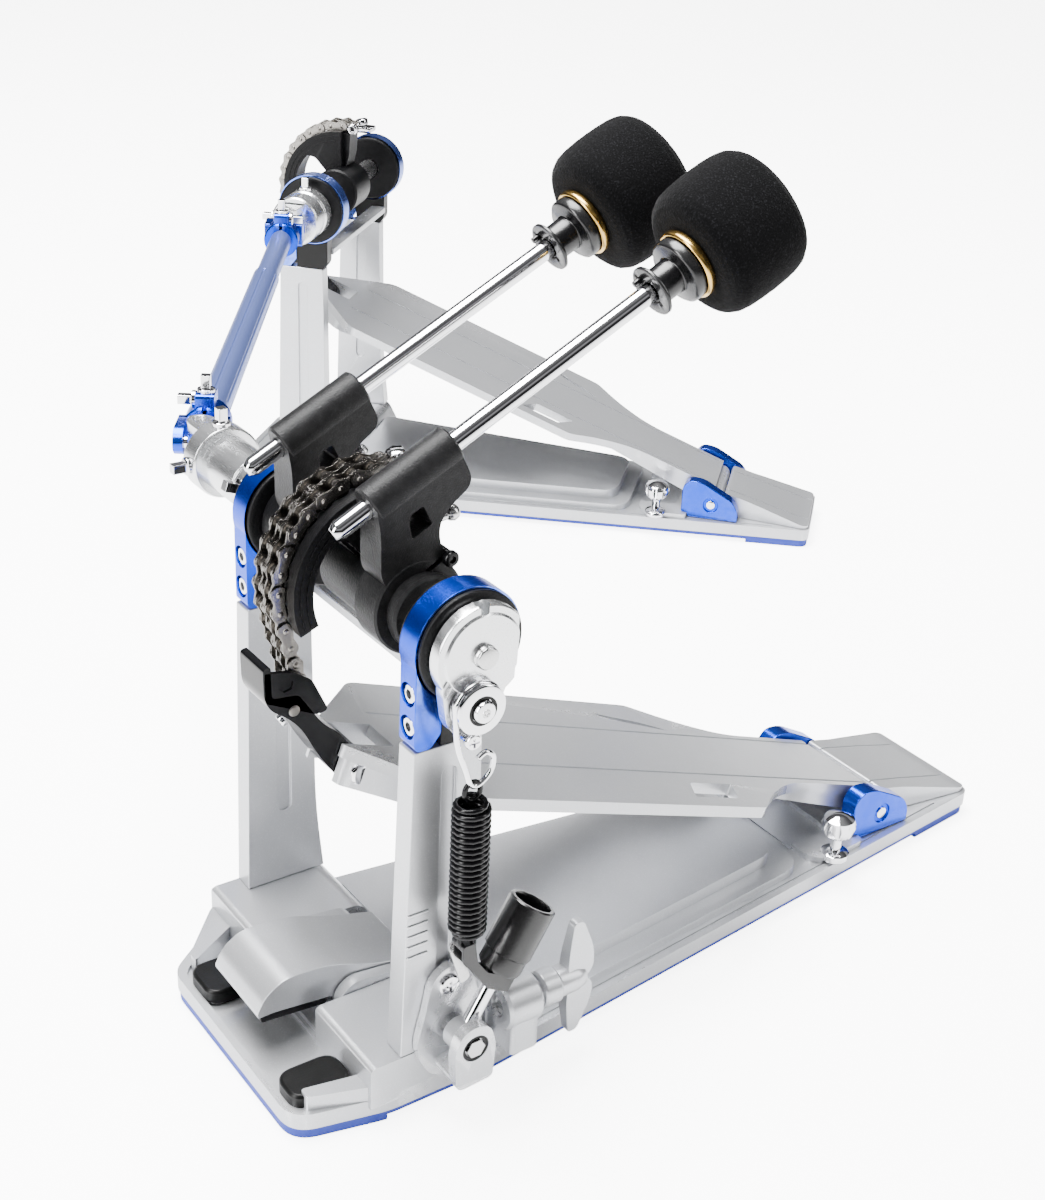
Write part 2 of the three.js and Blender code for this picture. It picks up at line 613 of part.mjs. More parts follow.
// The second pedal's cam is one piece with its shaft and the fork of its universal joint.
function secondCam() {
  const joint = fork(15.5).mirror([1, 0, 0]).translate([SLAVE_CROSS_X, 0, SHAFT_Z]);
  return join(
    camSector(),
    rodX(SHAFT_R, SLAVE_CROSS_X + 20, POST_OUT + 1, 0, SHAFT_Z),
    rodX(SHAFT_R + 1, CAM_X0 - 7, CAM_X1 - 0.5, 0, SHAFT_Z),
    rodX(14.5, SLAVE_CROSS_X + 15, -POST_OUT - FLANGE_T - 1, 0, SHAFT_Z, ROUND),
    joint,
  );
}

// ---------- beaters ----------

// Places given along the rod and out from the shaft, as [y, z].
const leanN = [Math.cos(rad(LEAN)), Math.sin(rad(LEAN))];
const leanD = [-Math.sin(rad(LEAN)), Math.cos(rad(LEAN))];
const beaterAt = (n, s) => [leanN[0] * n + leanD[0] * s, SHAFT_Z + leanN[1] * n + leanD[1] * s];
const rodAxis = [0, leanD[0], leanD[1]];
const rodFoot = (x) => [x, ...beaterAt(ROD_OFFSET, 0)];

// Casting that clamps the rod beside the shaft. `boreR` is the hole for the shaft.
function beaterHolder(x, boreR) {
  const plate = slabX([
    beaterAt(ROD_OFFSET + 3, TUBE_HIGH - 0.5), [...beaterAt(28, TUBE_HIGH - 0.8), 5],
    [...beaterAt(26.4, 27), 2], [...beaterAt(23.5, 21), 1], [...beaterAt(20, 18.6), 1],
    [...beaterAt(15, 17), 1], [...beaterAt(7, 19.5), 1], beaterAt(3, 16),
    beaterAt(-2, 0), [...beaterAt(18, -8), 3], [...beaterAt(34, 0), 2],
    beaterAt(ROD_OFFSET + 3, TUBE_LOW + 0.5),
  ], x - HOLDER_HALF, x + HOLDER_HALF);
  const hub = rodX(HUB_R, x - HOLDER_HALF, x + HOLDER_HALF, 0, SHAFT_Z, ROUND);
  const tube = rod(TUBE_R, TUBE_LOW, TUBE_HIGH, rodFoot(x), rodAxis);
  const rodBore = rod(ROD_R + 0.2, ROD_TAIL - 40, 90, rodFoot(x), rodAxis);
  const window = slabX([
    beaterAt(33.4, 11.5), beaterAt(33.4, 18), beaterAt(25, 18), beaterAt(25, 9),
  ], x - 20, x + 20);
  const split = slabX([
    beaterAt(12, 40), beaterAt(9.5, 40), beaterAt(9.5, 8), beaterAt(12, 8),
  ], x - 20, x + 20);
  const bore = holeX(boreR, x - 30, x + 30, 0, SHAFT_Z);
  return cut(join(plate, hub, tube), rodBore, window, split, bore);
}

// Rod with the plastic spool that carries the head.
const beaterRod = (x) => turned([
  [0, ROD_TAIL], [ROD_R - 1.6, ROD_TAIL], [ROD_R, ROD_TAIL + 3], [ROD_R, SPOOL_LOW],
  [9.7, SPOOL_LOW], [9.7, SPOOL_LOW + 1.7], [6.7, SPOOL_LOW + 2.2], [6.7, SPOOL_TOP - 5.4],
  [8.6, SPOOL_TOP - 4.6], [11.4, SPOOL_TOP - 4.2], [12.3, SPOOL_TOP - 2.6], [12.3, SPOOL_TOP],
  [ROD_R, SPOOL_TOP],
  [ROD_R, ROD_TOP], [0, ROD_TOP],
], rodFoot(x), rodAxis);

function beaterWasher(x) {
  const low = SPOOL_TOP + GAP;
  return turned([
    [ROD_R + FIT, low], [13, low], [13.4, low + 0.8], [13, FELT_LOW - GAP],
    [ROD_R + FIT, FELT_LOW - GAP], [ROD_R + FIT, low],
  ], rodFoot(x), rodAxis);
}

function beaterHead(x) {
  const inside = ROD_TOP + 0.5;
  return turned([
    [ROD_R + GAP, FELT_LOW], [FELT_R - 12, FELT_LOW], [FELT_R - 5.4, FELT_LOW + 1.2],
    [FELT_R - 1.8, FELT_LOW + 4.2], [FELT_R - 0.5, FELT_LOW + 9], [FELT_R, FELT_LOW + 16],
    [FELT_R, FELT_HIGH - 12], [FELT_R - 0.9, FELT_HIGH - 5.4], [FELT_R - 2.8, FELT_HIGH - 2.2],
    [FELT_R - 7, FELT_HIGH - 0.5], [FELT_R - 14, FELT_HIGH], [0, FELT_HIGH],
    [0, inside], [ROD_R + GAP, inside], [ROD_R + GAP, FELT_LOW],
  ], rodFoot(x), rodAxis);
}

// The near holder has a round clamping hub on its outer side.
function nearHolder() {
  const from = NEAR_ROD_X - HOLDER_HALF;
  const hub = rodX(14.2, from - 6.2, from + 1, 0, SHAFT_Z, ROUND);
  return beaterHolder(NEAR_ROD_X, SHAFT_R + FIT)
    .add(cut(hub, holeX(SHAFT_R + FIT, -100, 0, 0, SHAFT_Z)));
}

const mainShaft = () => join(
  rodX(SHAFT_R, SHAFT_END + 3, FAR_ROD_X - HOLDER_HALF - 4, 0, SHAFT_Z),
  rodX(4.2, SHAFT_END, SHAFT_END + 4, 0, SHAFT_Z),
  rodX(4, FAR_ROD_X - HOLDER_HALF - 5, FAR_ROD_X + 10, 0, SHAFT_Z),
);

// Hollow shaft of the far beater, with the fork of its universal joint. It turns on the main
// shaft's end.
function farSleeve() {
  const start = FAR_ROD_X - HOLDER_HALF - 3;
  const end = MAIN_CROSS_X - 15;
  const sleeve = turned([
    [4 + RUN, start], [SLEEVE_R, start], [SLEEVE_R, FAR_ROD_X + HOLDER_HALF + GAP],
    [16, FAR_ROD_X + HOLDER_HALF + GAP], [16, POST_IN - FLANGE_T - 1], [SHAFT_R, POST_IN - FLANGE_T - 1],
    [SHAFT_R, POST_OUT + FLANGE_T + 1], [11.6, POST_OUT + FLANGE_T + 1], [11.6, end - 10],
    [15, end - 10], [15, end], [0, end], [0, FAR_ROD_X + 11], [4 + RUN, FAR_ROD_X + 11],
    [4 + RUN, start],
  ], [0, 0, SHAFT_Z], [1, 0, 0], ROUND);
  return sleeve.add(fork(15.5).translate([MAIN_CROSS_X, 0, SHAFT_Z]));
}

// ---------- spring side ----------

function rocker() {
  const inner = -POST_OUT - FLANGE_T - 1;
  const disc = rodX(ROCKER_R, ROCKER_X0, inner, 0, SHAFT_Z, ROUND);
  const flat = box(ROCKER_X0 - 1, inner + 1, -40, -14.8, 150, 230);
  const arm = slabX([
    [16.5, SHAFT_Z - 6, 4], [14, 172, 6], [5, 165, 5], [-4, 169, 5], [-11, 185, 4], [-8, SHAFT_Z, 0],
  ], ROCKER_X0, inner - 2);
  const boss = rodX(6.5, SPRING_X + 2, ROCKER_X0 + 2, ROLLER_Y, ROLLER_Z);
  const axle = rodX(3.4, SPRING_X - 4.2, SPRING_X + 4, ROLLER_Y, ROLLER_Z);
  const bore = holeX(SHAFT_R + FIT, SHAFT_END + 2.9, 0, 0, SHAFT_Z);
  const endBore = holeX(4.2 + FIT, -100, 0, 0, SHAFT_Z);
  const screwHole = rodZ(2.6, SHAFT_Z + 9, 240, (ROCKER_X0 + inner) / 2, 0, 12);
  return cut(join(cut(disc, flat), arm, boss, axle, roller()), bore, endBore, screwHole);
}

// Grooved roller that the spring's hook pulls on.
const roller = () => turned([
  [0, SPRING_X - 3.2], [ROLLER_R, SPRING_X - 3.2], [ROLLER_R, SPRING_X - 1.8],
  [ROLLER_R - GROOVE_DEPTH, SPRING_X - 1.4], [ROLLER_R - GROOVE_DEPTH, SPRING_X + 1.4], [ROLLER_R, SPRING_X + 1.8],
  [ROLLER_R, SPRING_X + 3], [0, SPRING_X + 3],
], [0, ROLLER_Y, ROLLER_Z], [1, 0, 0]);

function springHook() {
  const r = ROLLER_R - GROOVE_DEPTH + WIRE_R + HOOK_SLACK;
  const arc = [];
  for (let a = -25; a <= 190; a += 21.5) {
    arc.push([SPRING_X, ROLLER_Y - r * Math.cos(rad(a)), ROLLER_Z + r * Math.sin(rad(a))]);
  }
  const curl = [
    [7.5, 6.6], [5.4, 0.8], [2, 0], [-2.4, 3.6], [-3.4, 9], [-0.4, 12], [3, 10.4],
  ].map(([y, up]) => [SPRING_X, y, HOOK_END_Z + up]);
  return wire([...arc, [SPRING_X, ROLLER_Y + 7.6, ROLLER_Z - 13], ...curl], WIRE_R, 26, 6);
}

// Outer shape of the coil spring.
const mainSpring = () => turned([
  [SPRING_R - 1.9, SPRING_LOW], [SPRING_R, SPRING_LOW], [SPRING_R, SPRING_HIGH],
  [SPRING_R - 1.9, SPRING_HIGH], [SPRING_R - 1.9, SPRING_LOW],
], [SPRING_X, SPRING_Y, 0], [0, 0, 1]);

const rodTilt = [0, -Math.sin(rad(ROD_LEAN)), Math.cos(rad(ROD_LEAN))];
const ANCHOR_AT = [TENSION_X, ANCHOR_Y, ANCHOR_Z];

// A place given along the tension rod and across it towards the spring, as [y, z].
function tensionAt(s, n) {
  const [, sy, sz] = rodTilt;
  return [ANCHOR_Y + sy * s + sz * n, ANCHOR_Z + sz * s - sy * n];
}

function springAnchor() {
  const inner = -POST_OUT - GAP;
  const flange = slabX([
    [15, 50, 7], [13, 62, 6], [4, 67, 6], [-4, 60, 5], [-9, 44, 4], [-10, 20, 4], [10, 14, 6],
    [20, 30, 7],
  ], inner - 3.6, inner, 3);
  const floor = slabX([[-5, 21, 2], [10, 20, 3], [12, 25, 2], [4, 27.4, 1], [-5, 26, 1]],
    ANCHOR_X0, inner - 1);
  const cheek = slabX([
    [ANCHOR_Y - 8, ANCHOR_Z - 16, 2], [ANCHOR_Y - 3, ANCHOR_Z - 12.5, 2],
    [ANCHOR_Y + 3, ANCHOR_Z - 12.5, 2], [ANCHOR_Y + 8, ANCHOR_Z - 15.5, 2],
    [ANCHOR_Y + 9, ANCHOR_Z, 5], [ANCHOR_Y + 6, ANCHOR_Z + 8, 4], [ANCHOR_Y, ANCHOR_Z + 10, 4],
    [ANCHOR_Y - 6, ANCHOR_Z + 8, 4], [ANCHOR_Y - 9, ANCHOR_Z, 5],
  ], ANCHOR_X0, ANCHOR_X0 + 4.6, 3);
  const pin = rodX(3.6, ANCHOR_X0 - 0.6, inner - 1, ANCHOR_Y, ANCHOR_Z);
  return join(flange, floor, cheek, pin);
}

// Threaded rod with an eye, and the clip that the spring's lower loop hangs on.
function tensionRod() {
  const eye = rodX(6.4, TENSION_X - 3.9, TENSION_X + 3.9, ANCHOR_Y, ANCHOR_Z);
  const shank = rod(3, 3, KNOB_HIGH - 10, ANCHOR_AT, rodTilt, 16);
  const top = KNOB_LOW + 6.2;
  const clip = slabX([
    tensionAt(KNOB_LOW, -6), tensionAt(KNOB_LOW, 5), tensionAt(KNOB_LOW + 2.5, 9.6), [3.4, 70], [7, 74],
    [7, SPRING_LOW - 2.4], [2, SPRING_LOW - 2.4], [0.6, 72.5], tensionAt(top, 8.6), tensionAt(top, -6),
  ], SPRING_X - 2.4, TENSION_X + 3.4);
  return cut(join(eye, shank, clip), holeX(3.6 + RUN, -100, 0, ANCHOR_Y, ANCHOR_Z));
}

// Faceted nut, open at the top.
function tensionKnob() {
  const body = turned([
    [3 + RUN, KNOB_LOW + 6.5], [7.6, KNOB_LOW + 6.5], [KNOB_R - 0.8, KNOB_LOW + 9],
    [KNOB_R - 0.8, KNOB_LOW + 14], [KNOB_R, KNOB_LOW + 14.6], [KNOB_R, KNOB_HIGH],
    [KNOB_R - 2, KNOB_HIGH], [KNOB_R - 2.4, KNOB_HIGH - 9], [3 + RUN, KNOB_HIGH - 9],
    [3 + RUN, KNOB_LOW + 6.5],
  ], ANCHOR_AT, rodTilt, 8);
  return body;
}

// ---------- hoop clamp ----------

// Jaw that holds the drum's hoop, with its pivot pin.
function clampJaw() {
  const cover = slabX([
    [57.5, 29, 3], [54, 36, 5], [46, 41.2, 8], [27, 40.6, 8], [8, 33, 6], [-14, 27, 1],
    [-14, 23.6, 1], [4, 23.4, 2], [9, 15.5, 3], [16, 13.8, 5], [22, 17, 3], [25, 24.6, 2],
    [50, 27.2, 1], [57, 27, 1],
  ], -JAW_HALF, JAW_HALF, 3);
  return cover.add(rodX(JAW_PIN_R, -23.4, 23.4, JAW_PIN_Y, JAW_PIN_Z));
}

function clampEars() {
  const ear = (x0, x1) => cut(
    slabX([[25, RIM_Z], [25, 28, 5], [19, 32.6, 4], [-6, 30, 4], [-8, RIM_Z]], x0, x1),
    holeX(JAW_PIN_R + RUN, -60, 60, JAW_PIN_Y, JAW_PIN_Z));
  return [ear(-23.6, -JAW_HALF - 0.6), ear(JAW_HALF + 0.6, 23.6)];
}

// Boss behind the near post that the wing bolt screws through.
function clampBoss() {
  const low = POST_BACK - 8.5;
  return cut(join(
    rodY(10, -31, low, WING_X, WING_Z),
    slabZ([[-80, -30, 2], [-80, low - 1, 2], [-58, low - 1, 0], [-58, -30, 2]], 20, WING_Z - 2),
    box(-62, -56, -27, low - 1, 9, 34),
  ), rodY(4 + RUN, -60, 20, WING_X, WING_Z));
}

function wingBolt() {
  const shaft = rodY(4, -52, -17, WING_X, WING_Z);
  const collar = rodY(7.4, -42, -33.5, WING_X, WING_Z);
  const lobe = (side) => {
    const wing = slabX([
      [-47.5, -2, 1], [-46.6, 10, 3], [-49, 26.5, 2], [-53, 26, 3], [-58, 12, 5], [-58.5, 4, 2], [-53, -2, 1],
    ], -3.4, 3.4);
    const placed = side > 0 ? wing : wing.mirror([0, 0, 1]);
    return placed.translate([WING_X, 0, WING_Z]);
  };
  const boss = rodY(6.2, -54, -41, WING_X, WING_Z);
  return join(shaft, collar, lobe(1), lobe(-1), boss);
}

const NEAR_PAD = [-46.5, 49, 8.6, 12.4]; // middle x, y and half sizes
const FAR_PAD = [25, 52, 10.5, 9.5];

function rubberPad([x, y, halfX, halfY], gap = 0) {
  const hx = halfX + gap;
  const hy = halfY + gap;
  return slabZ([
    [x + hx, y + hy, 4], [x + hx, y - hy, 4], [x - hx, y - hy, 4], [x - hx, y + hy, 4],
  ], RIM_Z - 1.6 + GAP - gap * 2, PAD_TOP + gap);
}

// ---------- universal joints and drive shaft ----------

// Two ears reaching along +X to the centre of a universal joint at the origin, with their pin
// holes along Z. `reach` is how far back the fork starts.
function fork(reach) {
  const ears = [-1, 1].map((side) => {
    const low = side > 0 ? EAR_IN : -EAR_OUT;
    return slabZ([
      [-reach, EAR_HALF, 0], [0, EAR_HALF, 4], [EAR_TIP, 3, 2], [EAR_TIP, -3, 2], [0, -EAR_HALF, 4],
      [-reach, -EAR_HALF, 0],
    ], low, low + EAR_OUT - EAR_IN);
  });
  const web = box(-reach, -reach + 3, -EAR_HALF, EAR_HALF, -EAR_OUT, EAR_OUT);
  const pinHole = rodZ((CROSS_PIN_R + CROSS_RUN) / Math.cos(Math.PI / 8), -20, 20, 0, 0, 8);
  return cut(join(...ears, web), pinHole);
}

// Cross of a universal joint: one pair of pins along Z, the other along Y.
const cross = () => join(
  box(-4.6, 4.6, -4.6, 4.6, -4.6, 4.6),
  rodZ(CROSS_PIN_R, -EAR_OUT + 1, EAR_OUT - 1, 0, 0, 8),
  rodY(CROSS_PIN_R, -EAR_OUT + 1, EAR_OUT - 1, 0, 0, 8),
);

// Drive tube along +X from one joint's centre, with a fork at both ends whose pins lie along Y.
function driveTube(length) {
  const reach = 15;
  const end = fork(reach).rotate([90, 0, 0]);
  const half = join(
    end.rotate([0, 0, 180]),
    rodX(9.8, reach - 1, reach + 14, 0, 0),
    rodX(TUBE_DRIVE_R, reach + 13, length / 2, 0, 0),
    box(reach + 1, reach + 12, -4, 4, 8, 15),
  );
  const other = half.rotate([0, 0, 180]).translate([length, 0, 0]);
  return half.add(other);
}

// ---------- placing ----------

const put = (group, name, manifold, material) => group.add(piece(name, manifold, material));

// Footboard and link arm, placed at rest.
function addTreadle(group, prefix) {
  const board = new THREE.Group();
  board.position.set(0, HINGE_Y, HINGE_Z);
  board.rotation.x = rad(BOARD_TILT);
  put(board, `${prefix}footboard`, footboard(), silver());
  const arm = new THREE.Group();
  arm.position.set(0, TOE_Y, TOE_Z);
  put(arm, `${prefix}link_arm`, linkArm(), black());
  group.add(board, arm);
}

// Chain, with the links that unwind in rows of `count`, from the cam downwards.
function addChain(group, prefix, counts) {
  put(group, `${prefix}chain_on_cam`, chainKept(), steel());
  let pin = LINKS_DOWN;
  counts.forEach((count, i) => {
    let row = chainRow(pin, 1);
    for (let k = 1; k < count; k += 1) row = row.add(chainJoint(pin - k)).add(chainRow(pin - k, 1));
    put(group, `${prefix}chain_link_${i + 1}`, row, steel());
    pin -= count;
  });
  put(group, `${prefix}chain_drop`, chainRow(1, 1 + LINKS_HANG), steel());
}

function addBeater(group, word, x, holder) {
  put(group, `${word}_beater_holder`, holder, black());
  put(group, `${word}_beater_rod`, beaterRod(x), chrome());
  put(group, `${word}_beater_washer`, beaterWasher(x), brassy());
  put(group, `${word}_beater_head`, beaterHead(x), felt());
}

const SIDES = [['near', -1], ['far', 1]];

function mainPedal() {
  const group = new THREE.Group();
  // The base stays clear of the bracket on the post's outer face.
  const beside = box(-2 * BASE_HALF, -POST_OUT - GAP, -12, 20, MAT_Z, 2 * STEP_Z);
  const plate = join(cut(basePlate(FRONT_NEAR, FRONT_FAR), beside), ...clampEars(), clampBoss());
  const pads = [rubberPad(NEAR_PAD, GAP), rubberPad(FAR_PAD, GAP)];
  put(group, 'base_mat', baseMat(FRONT_NEAR, FRONT_FAR), matBlue());
  put(group, 'base_plate', cut(plate, ...pads), silver());
  put(group, 'near_rubber_pad', rubberPad(NEAR_PAD), rubber());
  put(group, 'far_rubber_pad', rubberPad(FAR_PAD), rubber());
  put(group, 'near_post', post(-1), silver());
  put(group, 'far_post', post(1), silver());
  for (const [word, side] of SIDES) {
    put(group, `${word}_strap`, strap(side), blue());
    put(group, `${word}_hinge_block`, hingeBlock(side), blue());
    put(group, `${word}_bearing_housing`, bearingHousing(side), black());
  }
  put(group, 'heel_plate', heelPlate(), silver());
  put(group, 'post_brace', postBrace(), silver());
  put(group, 'hinge_pin', hingePin(), chrome());
  put(group, 'clamp_jaw', clampJaw(), silver());
  put(group, 'wing_bolt', wingBolt(), silver());
  put(group, 'spring_anchor', springAnchor(), silver());
  put(group, 'tension_rod', tensionRod(), chrome());
  put(group, 'tension_knob', tensionKnob(), plastic());
  put(group, 'main_spring', mainSpring(), black());
  put(group, 'spring_hook', springHook(), chrome());
  put(group, 'rocker', rocker(), chrome());
  put(group, 'main_shaft', mainShaft(), steel());
  put(group, 'cam', camSector(), black());
  put(group, 'far_sleeve', farSleeve(), steel());
  addTreadle(group, '');
  addChain(group, '', [2, 2, 1]);
  addBeater(group, 'near', NEAR_ROD_X, nearHolder());
  addBeater(group, 'far', FAR_ROD_X, beaterHolder(FAR_ROD_X, SLEEVE_R + FIT));
  return group;
}

// The second pedal has the same castings. Its base, posts, brace and heel are one piece here.
function secondPedal() {
  const group = new THREE.Group();
  const half = (FRONT_FAR - FRONT_NEAR) / 2;
  const sunk = [0, 0, -2 * GAP];
  const frame = join(
    basePlate(-half, half), post(-1).translate(sunk), post(1).translate(sunk),
    postBrace(POST_IN + 1), heelPlate().translate(sunk),
  );
  put(group, 'second_base_mat', baseMat(-half, half), matBlue());
  put(group, 'second_frame', frame, silver());
  for (const [word, side] of SIDES) {
    put(group, `second_${word}_strap`, strapWithBearing(side), blue());
  }
  put(group, 'second_near_hinge_block', hingeBlock(-1).add(hingePin().add(
    box(-HINGE_HALF + 0.2, -HINGE_IN - 0.2, HINGE_Y - 3.2, HINGE_Y + 3.2, HINGE_Z - 3.2, HINGE_Z + 3.2))),
  blue());
  put(group, 'second_far_hinge_block', hingeBlock(1), blue());
  addTreadle(group, 'second_');
  addChain(group, 'second_', [2, 2, 1]);
  put(group, 'second_cam', secondCam(), black());
  group.position.set(SECOND_X, SECOND_Y, 0);
  group.rotation.z = rad(SECOND_YAW);
  return group;
}

// Tube between the two universal joints, with a cross at each end.
function driveLine() {
  const group = new THREE.Group();
  const start = new THREE.Vector3(MAIN_CROSS_X, 0, SHAFT_Z);
  const end = new THREE.Vector3(SLAVE_CROSS_X, 0, SHAFT_Z)
    .applyAxisAngle(new THREE.Vector3(0, 0, 1), rad(SECOND_YAW))
    .add(new THREE.Vector3(SECOND_X, SECOND_Y, 0));
  const along = end.clone().sub(start);
  group.position.copy(start);
  group.rotation.z = Math.atan2(along.y, along.x);
  put(group, 'main_cross', cross(), blue());
  put(group, 'drive_tube', driveTube(along.length()), blue());
  const far = cross().translate([along.length(), 0, 0]);
  put(group, 'second_cross', far, blue());
  return group;
}

const pedal = new THREE.Group();
pedal.add(mainPedal(), secondPedal(), driveLine());

export default pedal;
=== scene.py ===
# %% [markdown]
# # A double bass drum pedal
# The main pedal carries two beaters. A second pedal stands beside it and works the far beater
# through a drive shaft with two universal joints. Every visible piece is made here and rides on
# a body of the CAD frame, so the pedals move as one mechanism.

# %% Load the frame
import math
import bpy
import bmesh
from mathutils import Matrix, Vector, noise


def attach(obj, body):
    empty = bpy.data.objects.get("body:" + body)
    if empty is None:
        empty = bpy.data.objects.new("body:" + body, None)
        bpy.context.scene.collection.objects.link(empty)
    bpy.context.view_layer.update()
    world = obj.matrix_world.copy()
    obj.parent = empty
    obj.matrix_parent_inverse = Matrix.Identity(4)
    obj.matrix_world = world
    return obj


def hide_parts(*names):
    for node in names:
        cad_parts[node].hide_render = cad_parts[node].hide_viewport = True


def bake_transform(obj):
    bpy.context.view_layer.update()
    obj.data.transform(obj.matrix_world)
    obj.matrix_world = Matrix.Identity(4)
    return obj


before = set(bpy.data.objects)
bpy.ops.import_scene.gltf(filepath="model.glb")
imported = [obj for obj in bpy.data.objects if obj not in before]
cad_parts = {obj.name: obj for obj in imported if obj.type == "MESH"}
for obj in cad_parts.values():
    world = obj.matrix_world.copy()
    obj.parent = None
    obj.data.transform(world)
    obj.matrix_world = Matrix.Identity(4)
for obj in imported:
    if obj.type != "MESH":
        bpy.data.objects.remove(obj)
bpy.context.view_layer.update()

# %% [markdown]
# ## Places on the real pedal
# All sizes are in millimetres, and `MM` turns them into metres when a mesh is made. The main
# shaft lies along X, 195 mm above the floor. The second pedal has the same castings, turned
# about the vertical, so one matrix places its copy of every piece.

# %% Shared sizes
MM = 0.001
SHAFT_Z = 195
POST_IN, POST_OUT = 56.2, 65.9
CHAIN_R, PITCH = 39, 7.5
LEAVE = -20
LINK_DEG = math.degrees(2 * math.asin(PITCH / 2 / CHAIN_R))
LEAN = math.radians(62.6)
HINGE = Vector((0, -259, 22))
TILT = math.radians(20.05)
SECOND = Matrix.Translation(Vector((499.4, -272.7, 0)) * MM) @ Matrix.Rotation(math.radians(-47.2), 4, "Z")
MAIN = Matrix.Identity(4)
print("chain link turns", round(LINK_DEG, 2), "degrees on the cam")

# %% [markdown]
# ## Solid pieces
# Castings and turned parts have plain outlines with a small broken edge. An outline with
# rounded corners given a thickness makes the castings, and a profile spun round an axis makes
# the turned parts. Modelling by subdivision would also work, but outlines keep the real
# sizes exact. Booleans cut the holes, and a bevel with even normals makes each edge catch light.


# %% Outlines, slabs and turned parts
def rounded(points, steps=7):
    """Corners [(a, b, radius)] as a smooth closed outline."""
    out = []
    count = len(points)
    for i, point in enumerate(points):
        here = Vector(point[:2])
        radius = point[2] if len(point) > 2 else 0
        before_v = Vector(points[i - 1][:2]) - here
        after_v = Vector(points[(i + 1) % count][:2]) - here
        radius = min(radius, 0.48 * before_v.length, 0.48 * after_v.length)
        if radius <= 0:
            out.append(here)
            continue
        start = here + before_v.normalized() * radius
        end = here + after_v.normalized() * radius
        for k in range(steps + 1):
            t = k / steps
            out.append(start * (1 - t) ** 2 + here * (2 * t * (1 - t)) + end * t * t)
    return out


def new_object(name, verts, faces):
    mesh = bpy.data.meshes.new(name)
    mesh.from_pydata([tuple(Vector(v) * MM) for v in verts], [], faces)
    obj = bpy.data.objects.new(name, mesh)
    bpy.context.scene.collection.objects.link(obj)
    tidy = bmesh.new()
    tidy.from_mesh(mesh)
    bmesh.ops.remove_doubles(tidy, verts=tidy.verts, dist=1e-6)
    bmesh.ops.recalc_face_normals(tidy, faces=tidy.faces)
    tidy.to_mesh(mesh)
    tidy.free()
    return obj


print('outline corners ready')

# %% [markdown]
# An outline becomes a slab when it is given thickness along one axis. Extruding by hand in edit
# mode does the same, but here the low and high faces are plain numbers, as on a drawing.


# %% Slabs
PLANES = {
    "x": lambda a, b, c: (c, a, b),
    "y": lambda a, b, c: (a, c, b),
    "z": lambda a, b, c: (a, b, c),
}


def slab(points, low, high, across="x", steps=7):
    """An outline given thickness along one axis. Across x it is drawn in (y, z)."""
    line = rounded(points, steps)
    place = PLANES[across]
    count = len(line)
    verts = [place(p.x, p.y, low) for p in line] + [place(p.x, p.y, high) for p in line]
    faces = [tuple(range(count)), tuple(range(2 * count - 1, count - 1, -1))]
    faces += [(i, (i + 1) % count, count + (i + 1) % count, count + i) for i in range(count)]
    return new_object("slab", verts, faces)


print('slabs ready')

# %% [markdown]
# Round parts come off a lathe, so they are made as a profile spun round an axis. A Screw modifier
# would also spin it, but a direct spin lets any axis in space be used.


# %% Turned parts
def turned(profile, at, axis, sides=48):
    """A profile of (radius, distance) points spun round an axis through `at`."""
    way = Vector(axis).normalized()
    side = way.orthogonal().normalized()
    other = way.cross(side)
    closed = profile[0] == profile[-1]
    rows = profile[:-1] if closed else profile
    verts, rings = [], []
    for radius, distance in rows:
        middle = Vector(at) + way * distance
        if radius == 0:
            rings.append([len(verts)] * sides)
            verts.append(middle)
            continue
        rings.append(list(range(len(verts), len(verts) + sides)))
        for k in range(sides):
            turn = 2 * math.pi * k / sides
            verts.append(middle + (side * math.cos(turn) + other * math.sin(turn)) * radius)
    pairs = list(zip(rings, rings[1:])) + ([(rings[-1], rings[0])] if closed else [])
    faces = []
    for low, high in pairs:
        for k in range(sides):
            n = (k + 1) % sides
            corners = list(dict.fromkeys((low[k], low[n], high[n], high[k])))
            if len(corners) > 2:
                faces.append(tuple(corners))
    return new_object("turned", verts, faces)


print('lathe ready')

# %% [markdown]
# Two shapes are used again and again: a round pin with chamfered ends, and a plain block that
# cuts slots.


# %% Pins and blocks
def pin(radius, low, high, at, axis, edge=0.4, sides=40):
    """A round pin with chamfered ends."""
    profile = [(0, low), (radius - edge, low), (radius, low + edge), (radius, high - edge),
               (radius - edge, high), (0, high)]
    return turned(profile, at, axis, sides)


def block(x0, x1, y0, y1, z0, z1):
    return slab([(y0, z0), (y1, z0), (y1, z1), (y0, z1)], x0, x1)


print('pins and blocks ready')

# %% [markdown]
# A bent wire follows points smoothly. A curve object with a round bevel would do, but a mesh can be
# merged with other shells and stretched by the joints.


